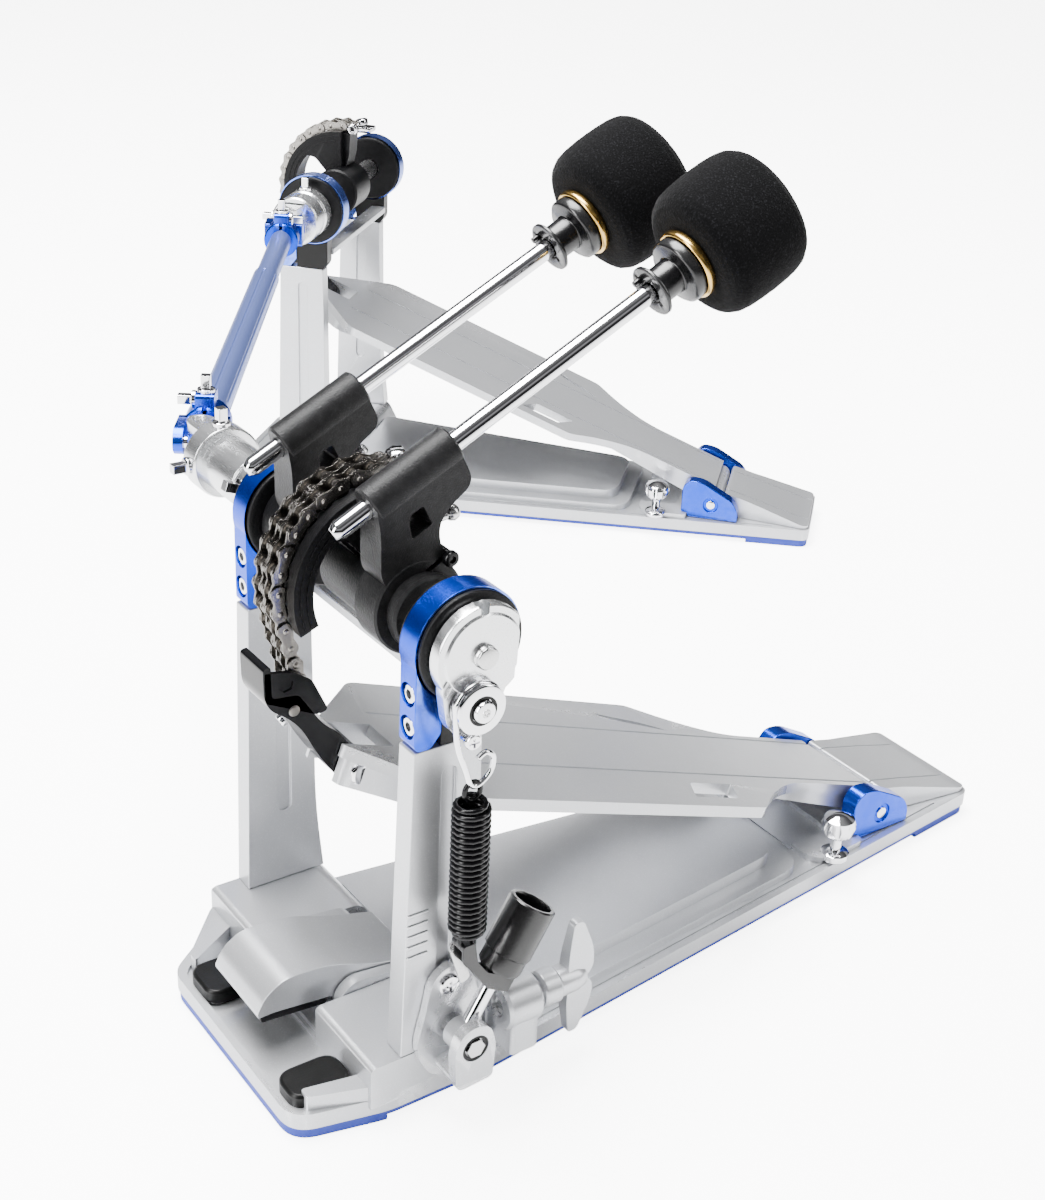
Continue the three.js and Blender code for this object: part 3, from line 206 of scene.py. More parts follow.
# %% Wires
def tube_wire(points, radius, sides=10, spin=3):
    """A round wire through points, smoothed."""
    path = [Vector(p) for p in points]
    smooth = []
    for i in range(len(path) - 1):
        a, b = path[max(i - 1, 0)], path[i]
        c, d = path[i + 1], path[min(i + 2, len(path) - 1)]
        for k in range(spin):
            t = k / spin
            smooth.append(0.5 * (2 * b + (c - a) * t + (2 * a - 5 * b + 4 * c - d) * t * t
                                 + (3 * b - a - 3 * c + d) * t ** 3))
    smooth.append(path[-1])
    verts, faces = [], []
    side = (smooth[1] - smooth[0]).orthogonal().normalized()
    for i, point in enumerate(smooth):
        way = (smooth[min(i + 1, len(smooth) - 1)] - smooth[max(i - 1, 0)]).normalized()
        side = (side - way * side.dot(way)).normalized()
        other = way.cross(side)
        for k in range(sides):
            turn = 2 * math.pi * k / sides
            verts.append(point + (side * math.cos(turn) + other * math.sin(turn)) * radius)
    for i in range(len(smooth) - 1):
        for k in range(sides):
            n = (k + 1) % sides
            faces.append((i * sides + k, i * sides + n, (i + 1) * sides + n, (i + 1) * sides + k))
    last = (len(smooth) - 1) * sides
    faces += [tuple(range(sides)), tuple(range(last + sides - 1, last - 1, -1))]
    return new_object("wire", verts, faces)


print("wires ready")

# %% [markdown]
# Holes and slots are cut with exact booleans, as a drill or a mill would cut them. The result is
# applied at once, so that later steps work on a plain mesh.


# %% Cutting and joining
def cut(obj, *tools, joined=False):
    """Cuts each tool out of obj, or joins it on."""
    for tool in tools:
        step = obj.modifiers.new("step", "BOOLEAN")
        step.operation = "UNION" if joined else "DIFFERENCE"
        step.solver = "EXACT"
        step.object = tool
    view = bpy.context.evaluated_depsgraph_get()
    mesh = bpy.data.meshes.new_from_object(obj.evaluated_get(view))
    obj.modifiers.clear()
    obj.data = mesh
    for tool in tools:
        bpy.data.objects.remove(tool)
    return obj


print('cutting ready')

# %% [markdown]
# Parts that are screwed or pressed together keep their own surfaces on the real thing. So they are
# merged as separate shells in one object, each with its own material, and not joined by a boolean.


# %% Merging shells
def merge(*parts):
    """Several shells as one object, each keeping its own shape and materials."""
    first = parts[0]
    whole = bmesh.new()
    slots = []
    for part in parts:
        start = len(whole.faces)
        whole.from_mesh(part.data)
        whole.faces.ensure_lookup_table()
        own = list(part.data.materials) or [None]
        for material in own:
            if material not in slots:
                slots.append(material)
        for face in whole.faces[start:]:
            face.material_index = slots.index(own[min(face.material_index, len(own) - 1)])
    mesh = bpy.data.meshes.new("merged")
    whole.to_mesh(mesh)
    whole.free()
    for material in slots:
        mesh.materials.append(material)
    first.data = mesh
    for part in parts[1:]:
        bpy.data.objects.remove(part)
    return first


print('merging ready')

# %% [markdown]
# Pieces are drawn where it is easiest, and then moved. A mirrored piece also has its faces turned
# round, because a mirror turns them inside out.


# %% Moving, mirroring and painting
def moved(obj, matrix):
    obj.data.transform(matrix)
    return obj


def shifted(obj, x=0, y=0, z=0):
    return moved(obj, Matrix.Translation(Vector((x, y, z)) * MM))


def mirrored(obj):
    moved(obj, Matrix.Diagonal((-1, 1, 1, 1)))
    obj.data.flip_normals()
    return obj


def painted(obj, material):
    obj.data.materials.clear()
    obj.data.materials.append(material)
    return obj


print('moving ready')

# %% [markdown]
# Every piece ends the same way: a small bevel on its sharp edges, even normals so that flat faces
# stay flat beside the bevels, its place, the body it rides on and the CAD nodes it stands for.


# %% Finished pieces
def finished(obj, name, body, nodes=(), place=MAIN, edge=0.5):
    """Gives a piece its edge, its place, the body it rides on and the nodes it stands for."""
    obj.name = name.replace(" ", "_")
    obj.data.transform(place)
    if edge:
        bevel = obj.modifiers.new("edge", "BEVEL")
        bevel.width = edge * MM
        bevel.segments = 2
        bevel.limit_method = "ANGLE"
        bevel.angle_limit = math.radians(38)
        bevel.use_clamp_overlap = True
        bevel.harden_normals = True
    obj.data.shade_smooth()
    even = obj.modifiers.new("normals", "WEIGHTED_NORMAL")
    even.keep_sharp = True
    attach(obj, body)
    if nodes:
        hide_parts(*nodes)
    return obj


print("helpers ready, millimetre is", MM, "m")

# %% [markdown]
# ## Shared surface effects
# Real metal is never one flat value. Four effects appear on many finishes: fine grain from
# casting or blasting, cloudy handling marks, bright worn edges and dust that settles on top.
# Each is one node group with inputs, so every finish uses it with its own strength.


# %% Node groups
def make_group(name, inputs, outputs):
    group = bpy.data.node_groups.new(name, "ShaderNodeTree")
    for label, value in inputs:
        socket = group.interface.new_socket(label, in_out="INPUT", socket_type="NodeSocketFloat")
        socket.default_value = value
    for label in outputs:
        group.interface.new_socket(label, in_out="OUTPUT", socket_type="NodeSocketFloat")
    return group, group.nodes.new("NodeGroupInput"), group.nodes.new("NodeGroupOutput")


def calc(tree, operation, first, second=None, clamp=False):
    node = tree.nodes.new("ShaderNodeMath")
    node.operation = operation
    node.use_clamp = clamp
    for socket, value in zip(node.inputs, (first, second)):
        if value is None:
            continue
        if isinstance(value, (int, float)):
            socket.default_value = value
        else:
            tree.links.new(value, socket)
    return node.outputs[0]


print('maths node ready')

# %% [markdown]
# Noise is the source of all the irregular detail. It is placed by object coordinates, so that it
# stays on the piece when the piece moves. Stretched noise gives the fine lines of machining.


# %% Noise
def noise_at(tree, scale, detail, stretch=None, roughness=0.5):
    where = tree.nodes.new("ShaderNodeTexCoord").outputs["Object"]
    if stretch:
        mapping = tree.nodes.new("ShaderNodeMapping")
        mapping.inputs["Scale"].default_value = stretch
        tree.links.new(where, mapping.inputs["Vector"])
        where = mapping.outputs[0]
    texture = tree.nodes.new("ShaderNodeTexNoise")
    tree.links.new(where, texture.inputs["Vector"])
    if isinstance(scale, (int, float)):
        texture.inputs["Scale"].default_value = scale
    else:
        tree.links.new(scale, texture.inputs["Scale"])
    texture.inputs["Detail"].default_value = detail
    texture.inputs["Roughness"].default_value = roughness
    return texture.outputs["Fac"]


print('noise ready')

# %% [markdown]
# Cast and blasted surfaces have a grain of a fraction of a millimetre, with some grains that glint.
# Handling leaves wide soft clouds where the surface is a little duller.


# %% Grain and handling marks
def grain_group():
    group, given, out = make_group("Fine grain", [("Scale", 900.0)], ["Height", "Fleck"])
    fine = noise_at(group, given.outputs["Scale"], 3)
    group.links.new(fine, out.inputs["Height"])
    fleck = calc(group, "SUBTRACT", fine, 0.56, clamp=True)
    group.links.new(calc(group, "MULTIPLY", fleck, 6.0, clamp=True), out.inputs["Fleck"])
    return group


def cloud_group():
    group, given, out = make_group("Handling marks", [("Scale", 24.0), ("Amount", 0.1)], ["Change"])
    wide = calc(group, "SUBTRACT", noise_at(group, given.outputs["Scale"], 6, roughness=0.62), 0.5)
    group.links.new(calc(group, "MULTIPLY", wide, given.outputs["Amount"]), out.inputs["Change"])
    return group


print('grain and clouds ready')

# %% [markdown]
# Edges are rubbed bright first. The mask for that comes from how pointed the surface is, broken up
# by noise. Dust settles only on faces that look up, so its mask comes from the normal.


# %% Edge wear and dust
def wear_group():
    group, given, out = make_group("Edge wear", [("Amount", 0.5)], ["Mask"])
    geometry = group.nodes.new("ShaderNodeNewGeometry")
    edge = calc(group, "SUBTRACT", geometry.outputs["Pointiness"], 0.53, clamp=True)
    edge = calc(group, "MULTIPLY", edge, 9.0, clamp=True)
    broken = calc(group, "MULTIPLY", noise_at(group, 260.0, 4), 1.6, clamp=True)
    mask = calc(group, "MULTIPLY", calc(group, "MULTIPLY", edge, broken), given.outputs["Amount"], clamp=True)
    group.links.new(mask, out.inputs["Mask"])
    return group


def dust_group():
    group, given, out = make_group("Settled dust", [("Amount", 0.1)], ["Mask"])
    geometry = group.nodes.new("ShaderNodeNewGeometry")
    split = group.nodes.new("ShaderNodeSeparateXYZ")
    group.links.new(geometry.outputs["Normal"], split.inputs[0])
    up = calc(group, "MULTIPLY", calc(group, "SUBTRACT", split.outputs["Z"], 0.3, clamp=True), 1.4, clamp=True)
    specks = calc(group, "MULTIPLY", noise_at(group, 70.0, 8, roughness=0.7), up)
    group.links.new(calc(group, "MULTIPLY", specks, given.outputs["Amount"], clamp=True), out.inputs["Mask"])
    return group


GRAIN, CLOUD, WEAR, DUST = grain_group(), cloud_group(), wear_group(), dust_group()
print("groups:", [g.name for g in bpy.data.node_groups])

# %% [markdown]
# ## Finishes
# A finish starts from one shader and mixes the effects into its colour, roughness and bump.
# Painted castings show grain and flecks, anodised parts stay smooth with bright edges, chrome
# only clouds a little, and rubber and felt scatter light with no metal at all.


# %% Placing a group
def placed(tree, group, **values):
    node = tree.nodes.new("ShaderNodeGroup")
    node.node_tree = group
    for label, value in values.items():
        node.inputs[label].default_value = value
    return node


print('groups can be placed')

# %% [markdown]
# One maker builds every finish from the same shader and the four groups. Writing each material by
# hand would give the same result, but then a change to the wear would have to be made many times.


# %% The finish maker
def finish(name, color, roughness, metal, grain=900.0, bump=0.05, flecks=0.0, fleck_color=(1, 1, 1, 1),
           wear=0.0, wear_color=(0.8, 0.8, 0.82, 1), cloud=0.1, dust=0.0, coat=0.0, sheen=0.0,
           stretch=None, specular=0.5):
    material = bpy.data.materials.new(name)
    material.use_nodes = True
    tree = material.node_tree
    shader = tree.nodes["Principled BSDF"]
    shader.inputs["Metallic"].default_value = metal
    shader.inputs["Coat Weight"].default_value = coat
    shader.inputs["Coat Roughness"].default_value = 0.12
    shader.inputs["Specular IOR Level"].default_value = specular
    shader.inputs["Sheen Weight"].default_value = sheen
    shader.inputs["Sheen Roughness"].default_value = 0.4
    grains = placed(tree, GRAIN, Scale=grain)
    clouds = placed(tree, CLOUD, Amount=cloud)

    def mixed(first, second, mask):
        node = tree.nodes.new("ShaderNodeMix")
        node.data_type = "RGBA"
        for socket, value in ((node.inputs[6], first), (node.inputs[7], second)):
            if isinstance(value, tuple):
                socket.default_value = value
            else:
                tree.links.new(value, socket)
        tree.links.new(mask, node.inputs[0])
        return node.outputs[2]

    deep = tuple(c * 0.8 for c in color) + (1,)
    tone = mixed(color + (1,), deep, calc(tree, "MULTIPLY", clouds.outputs["Change"], 3.0, clamp=True))
    rough = calc(tree, "ADD", clouds.outputs["Change"], roughness, clamp=True)
    if flecks:
        tone = mixed(tone, fleck_color, calc(tree, "MULTIPLY", grains.outputs["Fleck"], flecks, clamp=True))
    if wear:
        mask = placed(tree, WEAR, Amount=wear).outputs["Mask"]
        tone = mixed(tone, wear_color, mask)
        rough = calc(tree, "SUBTRACT", rough, calc(tree, "MULTIPLY", mask, 0.15), clamp=True)
    if dust:
        mask = placed(tree, DUST, Amount=dust).outputs["Mask"]
        tone = mixed(tone, (0.55, 0.53, 0.5, 1), mask)
        rough = calc(tree, "ADD", rough, calc(tree, "MULTIPLY", mask, 0.5), clamp=True)
    height = grains.outputs["Height"]
    if stretch:
        height = noise_at(tree, 90.0, 5, stretch)
        rough = calc(tree, "ADD", rough, calc(tree, "MULTIPLY", calc(tree, "SUBTRACT", height, 0.5), 0.25),
                     clamp=True)
    if bump:
        node = tree.nodes.new("ShaderNodeBump")
        node.inputs["Strength"].default_value = bump
        node.inputs["Distance"].default_value = 0.0004
        tree.links.new(height, node.inputs["Height"])
        tree.links.new(node.outputs["Normal"], shader.inputs["Normal"])
    tree.links.new(tone, shader.inputs["Base Color"])
    tree.links.new(rough, shader.inputs["Roughness"])
    return material


print("finish maker ready")

# %% [markdown]
# The finishes of this pedal are two paints, three blues, two blacks, four metals, rubber, plastic
# and felt. The rubber black also serves as painted shade on the floors of screw sockets and
# pockets. The blacks have a low specular level, because a powder coat scatters most of its gloss.

# %% The finishes of this pedal
SILVER = finish("Silver casting paint", (0.52, 0.53, 0.55), 0.32, 0.75, grain=1500.0, bump=0.12, flecks=0.25,
                fleck_color=(0.9, 0.9, 0.92, 1), wear=0.5, cloud=0.12, dust=0.06)
MACHINED = finish("Machined aluminium", (0.78, 0.79, 0.8), 0.24, 0.95, bump=0.05, cloud=0.12,
                  stretch=(1, 14, 14))
BLUE = finish("Blue anodising", (0.0, 0.05, 0.6), 0.24, 0.95, grain=2200.0, bump=0.04, wear=0.6,
              wear_color=(0.3, 0.45, 1, 1), cloud=0.08)
BLUE_TUBE = finish("Pale blue anodising", (0.2, 0.27, 0.66), 0.3, 0.8, grain=2200.0, bump=0.04, cloud=0.1)
MAT_BLUE = finish("Blue mat rubber", (0.012, 0.035, 0.36), 0.55, 0.0, grain=1400.0, bump=0.2, dust=0.08)
BLACK = finish("Black textured powder coat", (0.002, 0.002, 0.0024), 0.36, 0.0, grain=1700.0, bump=0.5,
               specular=0.14, flecks=0.03, fleck_color=(0.2, 0.2, 0.22, 1), wear=0.1,
               wear_color=(0.1, 0.1, 0.1, 1))
SMOOTH_BLACK = finish("Smooth black coat", (0.0025, 0.0025, 0.003), 0.2, 0.0, bump=0.03, cloud=0.05, specular=0.22)
CHROME = finish("Polished chrome", (0.86, 0.86, 0.88), 0.07, 1.0, bump=0.0, cloud=0.06)
STEEL = finish("Bright steel", (0.6, 0.6, 0.6), 0.25, 1.0, bump=0.06, cloud=0.14, stretch=(1, 20, 20))
CHAIN = finish("Oiled chain steel", (0.2, 0.187, 0.17), 0.28, 1.0, grain=1200.0, bump=0.12, cloud=0.3,
               wear=0.35, wear_color=(0.5, 0.48, 0.45, 1))
BRASS = finish("Gold anodised ring", (0.72, 0.46, 0.13), 0.22, 1.0, bump=0.03, wear=0.4,
               wear_color=(1, 0.85, 0.5, 1))
# Black rubber for the real rubber parts, also used as painted shade on the floors of screw sockets and strap
# pockets.
RUBBER_AND_PAINTED_SHADE = finish("Black rubber and painted shade", (0.002, 0.002, 0.002), 0.34, 0.0, grain=1300.0, bump=0.12, specular=0.2)
PLASTIC = finish("Black moulded plastic", (0.002, 0.002, 0.0024), 0.26, 0.0, grain=1100.0, bump=0.08,
                 wear=0.3, wear_color=(0.08, 0.08, 0.08, 1))
FELT = finish("Black beater felt", (0.002, 0.002, 0.0022), 0.95, 0.0, grain=1500.0, bump=1.0, flecks=0.5,
              fleck_color=(0.02, 0.02, 0.023, 1), sheen=0.05, specular=0.05)
print(len(bpy.data.materials), "finishes")

# %% [markdown]
# ## Fasteners
# Screws tell the eye how big things are. A socket screw has a dished round head with a hexagon
# hole, a cross-head screw has two slots, and a drum key screw has a square shank. They are
# turned first and then cut, as real ones are. A black hexagon at the bottom of each socket is
# painted shade.


# %% Screws
def facing(axis):
    return Vector((0, 0, 1)).rotation_difference(Vector(axis)).to_matrix().to_4x4()


def screw(at, axis, radius, height=1.6, drive="socket", material=None):
    head = turned([(0, -0.4), (radius, -0.4), (radius, height * 0.55), (radius * 0.86, height * 0.92),
                   (radius * 0.62, height), (0, height)], (0, 0, 0), (0, 0, 1), 36)
    inside = []
    if drive == "socket":
        corners = [(radius * 0.5 * math.cos(k * math.pi / 3), radius * 0.5 * math.sin(k * math.pi / 3))
                   for k in range(6)]
        cut(head, slab(corners, height * 0.15, height + 3, "z"))
        # The black hexagon at the bottom of the socket is painted shade for the dark inside of the hole.
        inside = [painted(slab(corners, 0, height * 0.2, "z"), RUBBER_AND_PAINTED_SHADE)]
    if drive == "slot":
        cut(head, block(-radius - 1, radius + 1, -radius * 0.13, radius * 0.13, height * 0.35, height + 3))
    if drive == "cross":
        arm, half = radius * 0.62, radius * 0.14
        cut(head, block(-arm, arm, -half, half, height * 0.35, height + 3),
            block(-half, half, -arm, arm, height * 0.35, height + 3))
    whole = merge(painted(head, material or CHROME), *inside)
    return shifted(moved(whole, facing(axis)), *at)


print('screws ready')

# %% [markdown]
# A drum key screw has a square shank that stands out of a round collar. It clamps hubs and joints.


# %% Key screws
def key_screw(at, axis, length=9):
    collar = turned([(0, 0), (3.4, 0), (3.8, 0.4), (3.8, 2), (2.6, 2.6), (0, 2.6)], (0, 0, 0), (0, 0, 1), 28)
    shank = slab([(-2, -2, 0.5), (2, -2, 0.5), (2, 2, 0.5), (-2, 2, 0.5)], 2, length, "z")
    both = merge(collar, shank)
    moved(both, facing(axis))
    shifted(both, *at)
    return painted(both, CHROME)


print("key screws ready")

# %% [markdown]
# ## Base and mat
# The base is a shallow die casting in silver paint on a blue rubber mat. Its outline is like a
# coffin: wide at the posts, with its front corners cut back and a long taper to the heel. The
# raised walls and steps are separate outlines joined to one casting.

# %% Base outline and mat
FRONT, BACK, WIDE, HEEL = 64.5, -324, 66, 32


def base_line(near, far, inset=0.0):
    return [(far - inset, FRONT - inset, 6), (WIDE - inset, 34 - inset * 0.4, 5), (WIDE - inset, -14, 12),
            (HEEL - inset, BACK + inset, 6), (-HEEL + inset, BACK + inset, 6), (-WIDE + inset, -14, 12),
            (-WIDE + inset, 28 - inset * 0.4, 5), (near + inset, FRONT - inset, 10)]


def half_at(y):
    return WIDE + (y + 14) / (BACK + 14) * (HEEL - WIDE)


def make_mat(near, far):
    mat = slab(base_line(near, far, 0.6), 0, 4.6, "z")
    return painted(cut(mat, block(-200, 200, -284, 28, -1, 2.4)), MAT_BLUE)


print('mat outlined')

# %% [markdown]
# The casting is a plate with a shallow tread at its front. Walls, steps and the raised middle are
# joined to it, and then the heel's pocket and two fine lines are cut.


# %% The casting
def make_base(near, far):
    plate = slab(base_line(near, far), 4.9, 12, "z", 9)
    recess = slab([(far - 3.2, FRONT - 3.2, 5), (WIDE - 6, 35.5, 3), (-WIDE + 6, 35.5, 3),
                   (near + 4, FRONT - 3.2, 8)], 10.3, 30, "z", 9)
    cut(plate, recess)
    walls = [
        slab([(-WIDE, 30, 4), (-WIDE, 20, 4), (-WIDE + 7, 20, 4), (near + 6, FRONT - 7, 2),
              (near + 0.8, FRONT - 7, 2)], 10, 18.5, "z"),
        slab([(WIDE, 36, 4), (WIDE, 20, 4), (WIDE - 7, 20, 4), (far - 5.6, FRONT - 7, 2),
              (far - 0.6, FRONT - 7, 2)], 10, 18.5, "z"),
        slab([(half_at(-16) - 6, -16, 5), (half_at(-205) - 6, -205, 12), (-half_at(-205) + 6, -205, 12),
              (-half_at(-16) + 6, -16, 5)], 8, 16, "z", 9),
        slab([(half_at(-16) - 15, -16, 5), (half_at(-196) - 15, -196, 12), (-half_at(-196) + 15, -196, 12),
              (-half_at(-16) + 15, -16, 5)], 8, 21.9, "z", 9),
        block(-30, 30, -30, 34, 9, 14),
        slab([(half_at(-212) - 3, -212, 12), (half_at(-244) - 2, -244, 3), (-half_at(-244) + 2, -244, 3),
              (-half_at(-212) + 3, -212, 12)], 8, 15, "z", 9),
    ]
    for side in (-1, 1):
        step = slab([(36, 9), (36, 27, 2), (34, 28, 1), (-12, 28, 5), (-22, 9)], 24, WIDE, "x", 5)
        walls.append(step if side > 0 else mirrored(step))
    cut(plate, *walls, joined=True)
    cut(plate, slab([(24, -236, 8), (24, -206, 8), (-24, -206, 8), (-24, -236, 8)], 12.6, 40, "z", 7))
    for side in (-1, 1):
        line = [(side * (half_at(-20) - 3.2), -22), (side * (half_at(-300) - 3.2), -300),
                (side * (half_at(-300) - 4.2), -300), (side * (half_at(-20) - 4.2), -22)]
        cut(plate, slab(line, 11.2, 14, "z"))
    return painted(plate, SILVER)


for label, near, far, place in (("main", -57.5, 42, MAIN), ("second", -49.75, 49.75, SECOND)):
    prefix = "" if label == "main" else "second_"
    finished(make_mat(near, far), label + " mat", "frame", [prefix + "base_mat"], place, 0.4)
print("mats placed")

# %% [markdown]
# The main base also carries the two ears of the hoop clamp, with cross-head screws, and the
# boss that the wing bolt screws through. They are cast with it, so they share its paint.

# %% Ears and wing boss
base_parts = [make_base(-57.5, 42)]
for side in (-1, 1):
    ear = slab([(25, 10), (25, 27, 7), (19, 32.4, 7), (-5, 29.6, 6), (-8, 14, 3), (-8, 10)], 18.6, 23.6, "x", 8)
    base_parts.append(painted(ear if side > 0 else mirrored(ear), SILVER))
    base_parts.append(screw((side * 23.6, 16, 20), (side, 0, 0), 3.7, 1.4, "cross"))
boss = pin(10, -31, -15.5, (-71, 0, 39), (0, 1, 0), 1.2)
cut(boss, slab([(-80, -30, 4), (-80, -16.5, 2), (-58, -16.5, 2), (-58, -30, 3)], 21, 38, "z"), joined=True)
cut(boss, pin(4.2, -60, 20, (-71, 0, 39), (0, 1, 0)))
base_parts.append(painted(boss, SILVER))
base_parts.append(painted(block(-63, -56, -27, -16, 8, 33), SILVER))
finished(merge(*base_parts), "main base casting", "frame", ["base_plate"], edge=0.7)
finished(make_base(-49.75, 49.75), "second base casting", "frame", ["second_frame"], SECOND, 0.7)
print("bases placed")

# %% [markdown]
# ## Posts, straps and bearings
# Two upright posts carry the shaft. Each has a long groove in its sides, and a black block on
# top that fills the space behind a blue anodised strap. The strap wraps the black bearing
# housing and is held by two socket screws in front.


# %% One post and its strap
def make_post(outer_ridges=False):
    body = slab([(23.4, 28.3), (20.5, 158.3, 1), (-7, 158.3, 1), (-8.5, 60, 30), (-12, 28.3)],
                POST_IN, POST_OUT, "x", 9)
    groove = slab([(3, 62, 3), (9, 62, 3), (9, 149, 3), (3, 149, 3)], POST_OUT - 1.3, POST_OUT + 2, "x", 8)
    cut(body, groove)
    cut(body, slab([(3, 62, 3), (9, 62, 3), (9, 149, 3), (3, 149, 3)], POST_IN - 2, POST_IN + 1.3, "x", 8))
    parts = [painted(body, SILVER)]
    if outer_ridges:
        for k in range(5):
            z = 72 + 4.6 * k
            parts.append(painted(slab([(13, z, 0.8), (22, z, 0.8), (22, z + 1.6, 0.8), (13, z + 1.6, 0.8)],
                                      POST_OUT - 0.5, POST_OUT + 0.5), SILVER))
    return merge(*parts)


print('post ready')

# %% [markdown]
# The black cushion and the blue strap close round the bearing from behind and in front. The strap's
# screws sit in round pockets with a black disc at the bottom, painted shade that makes them look deep.


# %% Cushion and strap
def make_cushion():
    back = slab([(9.7, 158.3), (9.7, 195), (-10, 195, 2), (-10, 162, 3), (-7, 158.3)],
                POST_IN + 0.3, POST_OUT - 0.3)
    return painted(cut(back, pin(21.3, 0, 90, (0, 0, SHAFT_Z), (1, 0, 0), 0, 64)), RUBBER_AND_PAINTED_SHADE)


def make_strap():
    foot = slab([(20.5, 195), (20.5, 160.2, 2), (19, 158.6, 1), (14, 158.6, 1), (10, 163.6, 1), (10, 195)],
                POST_IN, POST_OUT)
    ring = turned([(21, POST_IN), (21, POST_OUT), (0, POST_OUT), (0, POST_IN)], (0, 0, SHAFT_Z), (1, 0, 0), 96)
    cut(foot, ring, joined=True)
    cut(foot, turned([(0, 0), (17.8, 0), (17.8, 90), (0, 90)], (0, 0, SHAFT_Z), (1, 0, 0), 96))
    middle = (POST_IN + POST_OUT) / 2
    for z in (179.2, 166.6):
        cut(foot, turned([(0, 0), (4.4, 0), (4.4, 9), (0, 9)], (middle, 18.4, z), (0, 1, 0), 32))
    parts = [painted(foot, BLUE)]
    for z in (179.2, 166.6):
        # A black disc on the floor of each screw pocket is painted shade, seen as a dark ring round the screw
        # head.
        parts.append(painted(pin(4.35, 18.3, 18.8, (middle, 0, z), (0, 1, 0), 0, 32), RUBBER_AND_PAINTED_SHADE))
        parts.append(screw((middle, 18.4, z), (0, 1, 0), 3.7, 1.7, "socket"))
    return merge(*parts)


print('strap ready')

# %% [markdown]
# The housing is one turned ring with a rim at each side of the strap.


# %% Bearing housing
def make_housing():
    ring = turned([(6.3, 53.4), (18.6, 53.4), (20.2, 54.4), (20.2, 55.9), (17.5, 55.9), (17.5, 66.2),
                   (20.2, 66.2), (20.2, 67.7), (18.6, 68.7), (13, 68.7), (12.4, 67.6), (9, 67.6), (8.6, 68.7),
                   (6.3, 68.7), (6.3, 53.4)], (0, 0, SHAFT_Z), (1, 0, 0), 72)
    return painted(ring, BLACK)


print('bearing ready')

# %% [markdown]
# Both pedals have the same posts. The near one is the far one mirrored, and only the main pedal's
# near post has the short ridges near its front corner.


# %% Placing posts, straps and bearings
for label, place in (("main", MAIN), ("second", SECOND)):
    for side, word in ((-1, "near"), (1, "far")):
        turn = mirrored if side < 0 else (lambda o: o)
        main = label == "main"
        prefix = "" if main else "second_"
        post = turn(merge(make_post(main and side < 0), make_cushion()))
        finished(post, f"{label} {word} post", "frame", [f"{word}_post"] if main else [], place, 0.8)
        strap = turn(make_strap())
        finished(strap, f"{label} {word} strap", "frame", [f"{prefix}{word}_strap"], place, 0.5)
        housing = turn(make_housing())
        finished(housing, f"{label} {word} bearing", "frame",
                 [f"{word}_bearing_housing"] if main else [], place, 0.35)
print("posts stand at", POST_IN, "to", POST_OUT, "mm")

# %% [markdown]
# ## Brace, heel and hinge
# A flat bar ties the posts behind the cam. At the heel a wedge-shaped plate fills the space
# behind the footboard, with two fine grooves, and two blue blocks hold the hinge pin.


# %% Brace, heel plate, hinge blocks
def make_brace():
    bar = slab([(-11, 165.7, 1), (-1.5, 165.7, 1), (-1.5, 169.9, 1), (-11, 169.9, 1)], -55.9, 55.9)
    for x in (-30, -17, 17, 30):
        cut(bar, turned([(0, 0), (1.5, 0), (1.5, 5), (0, 5)], (x, -6, 169.2), (0, 0, 1), 24))
    return painted(bar, SILVER)


def make_heel():
    front = HINGE.y - 7.4
    body = slab([(front, 12.3), (front, 28.2, 3), (front - 20, 23.2, 14), (-318, 14.6, 5), (-323, 13.9, 1),
                 (-323, 12.3)], -HEEL, HEEL, "x", 9)
    keep = slab([(31, -323, 6), (-31, -323, 6), (-25.4, -281, 3), (-25.4, front + 1), (25.4, front + 1),
                 (25.4, -281, 3)], 0, 60, "z", 8)
    trim = body.modifiers.new("trim", "BOOLEAN")
    trim.operation = "INTERSECT"
    trim.object = keep
    cut(body)
    bpy.data.objects.remove(keep)
    for side in (-1, 1):
        tool = slab([(-330, 30), (-330, 13.6), (-318, 13.9, 5), (front - 20, 22.4, 14), (front + 5, 28.4),
                     (front + 5, 40)], side * 17 - 0.5, side * 17 + 0.5, "x", 9)
        cut(body, tool)
    return painted(body, SILVER)


print('brace and heel ready')

# %% [markdown]
# The blue blocks are milled from bar and anodised. The chrome thumb screw in front of the near one
# locks the heel, and its knob has eight finger grooves.


# %% Hinge block and thumb screw
def make_hinge_block():
    body = slab([(-243, 15.4), (-240, 15.4, 1), (-240, 33, 4), (-244.5, 37.6, 4), (-253, 36.8, 4), (-273, 26, 4),
                 (-277, 19, 3), (-277, 12.4), (-245, 12.4)], 26, 34.5, "x", 8)
    cut(body, turned([(0, 33.4), (4.8, 33.4), (4.8, 40), (0, 40)], HINGE, (1, 0, 0), 32))
    return painted(body, BLUE)


def thumb_screw():
    stem = pin(2.6, 12.4, 27, (-40, -224, 0), (0, 0, 1))
    nut = turned([(0, 13), (6, 13), (6.6, 13.8), (6.6, 16.4), (5.4, 17.2), (3, 17.8), (0, 17.8)],
                 (-40, -224, 0), (0, 0, 1), 12)
    knob = turned([(0, 24), (3.6, 24), (7, 27), (8, 31), (7, 34.6), (3.4, 36.4), (0, 36.8)],
                  (-40, -224, 0), (0, 0, 1), 32)
    for k in range(8):
        turn = math.pi * k / 4
        cut(knob, pin(1.5, 20, 40, (-40 + 8.4 * math.cos(turn), -224 + 8.4 * math.sin(turn), 0), (0, 0, 1), 0, 12))
    return painted(merge(stem, nut, knob), CHROME)


print('hinge block ready')

# %% [markdown]
# On the second pedal the brace and the heel plate belong to the same CAD node as its base, so they
# replace nothing by themselves.


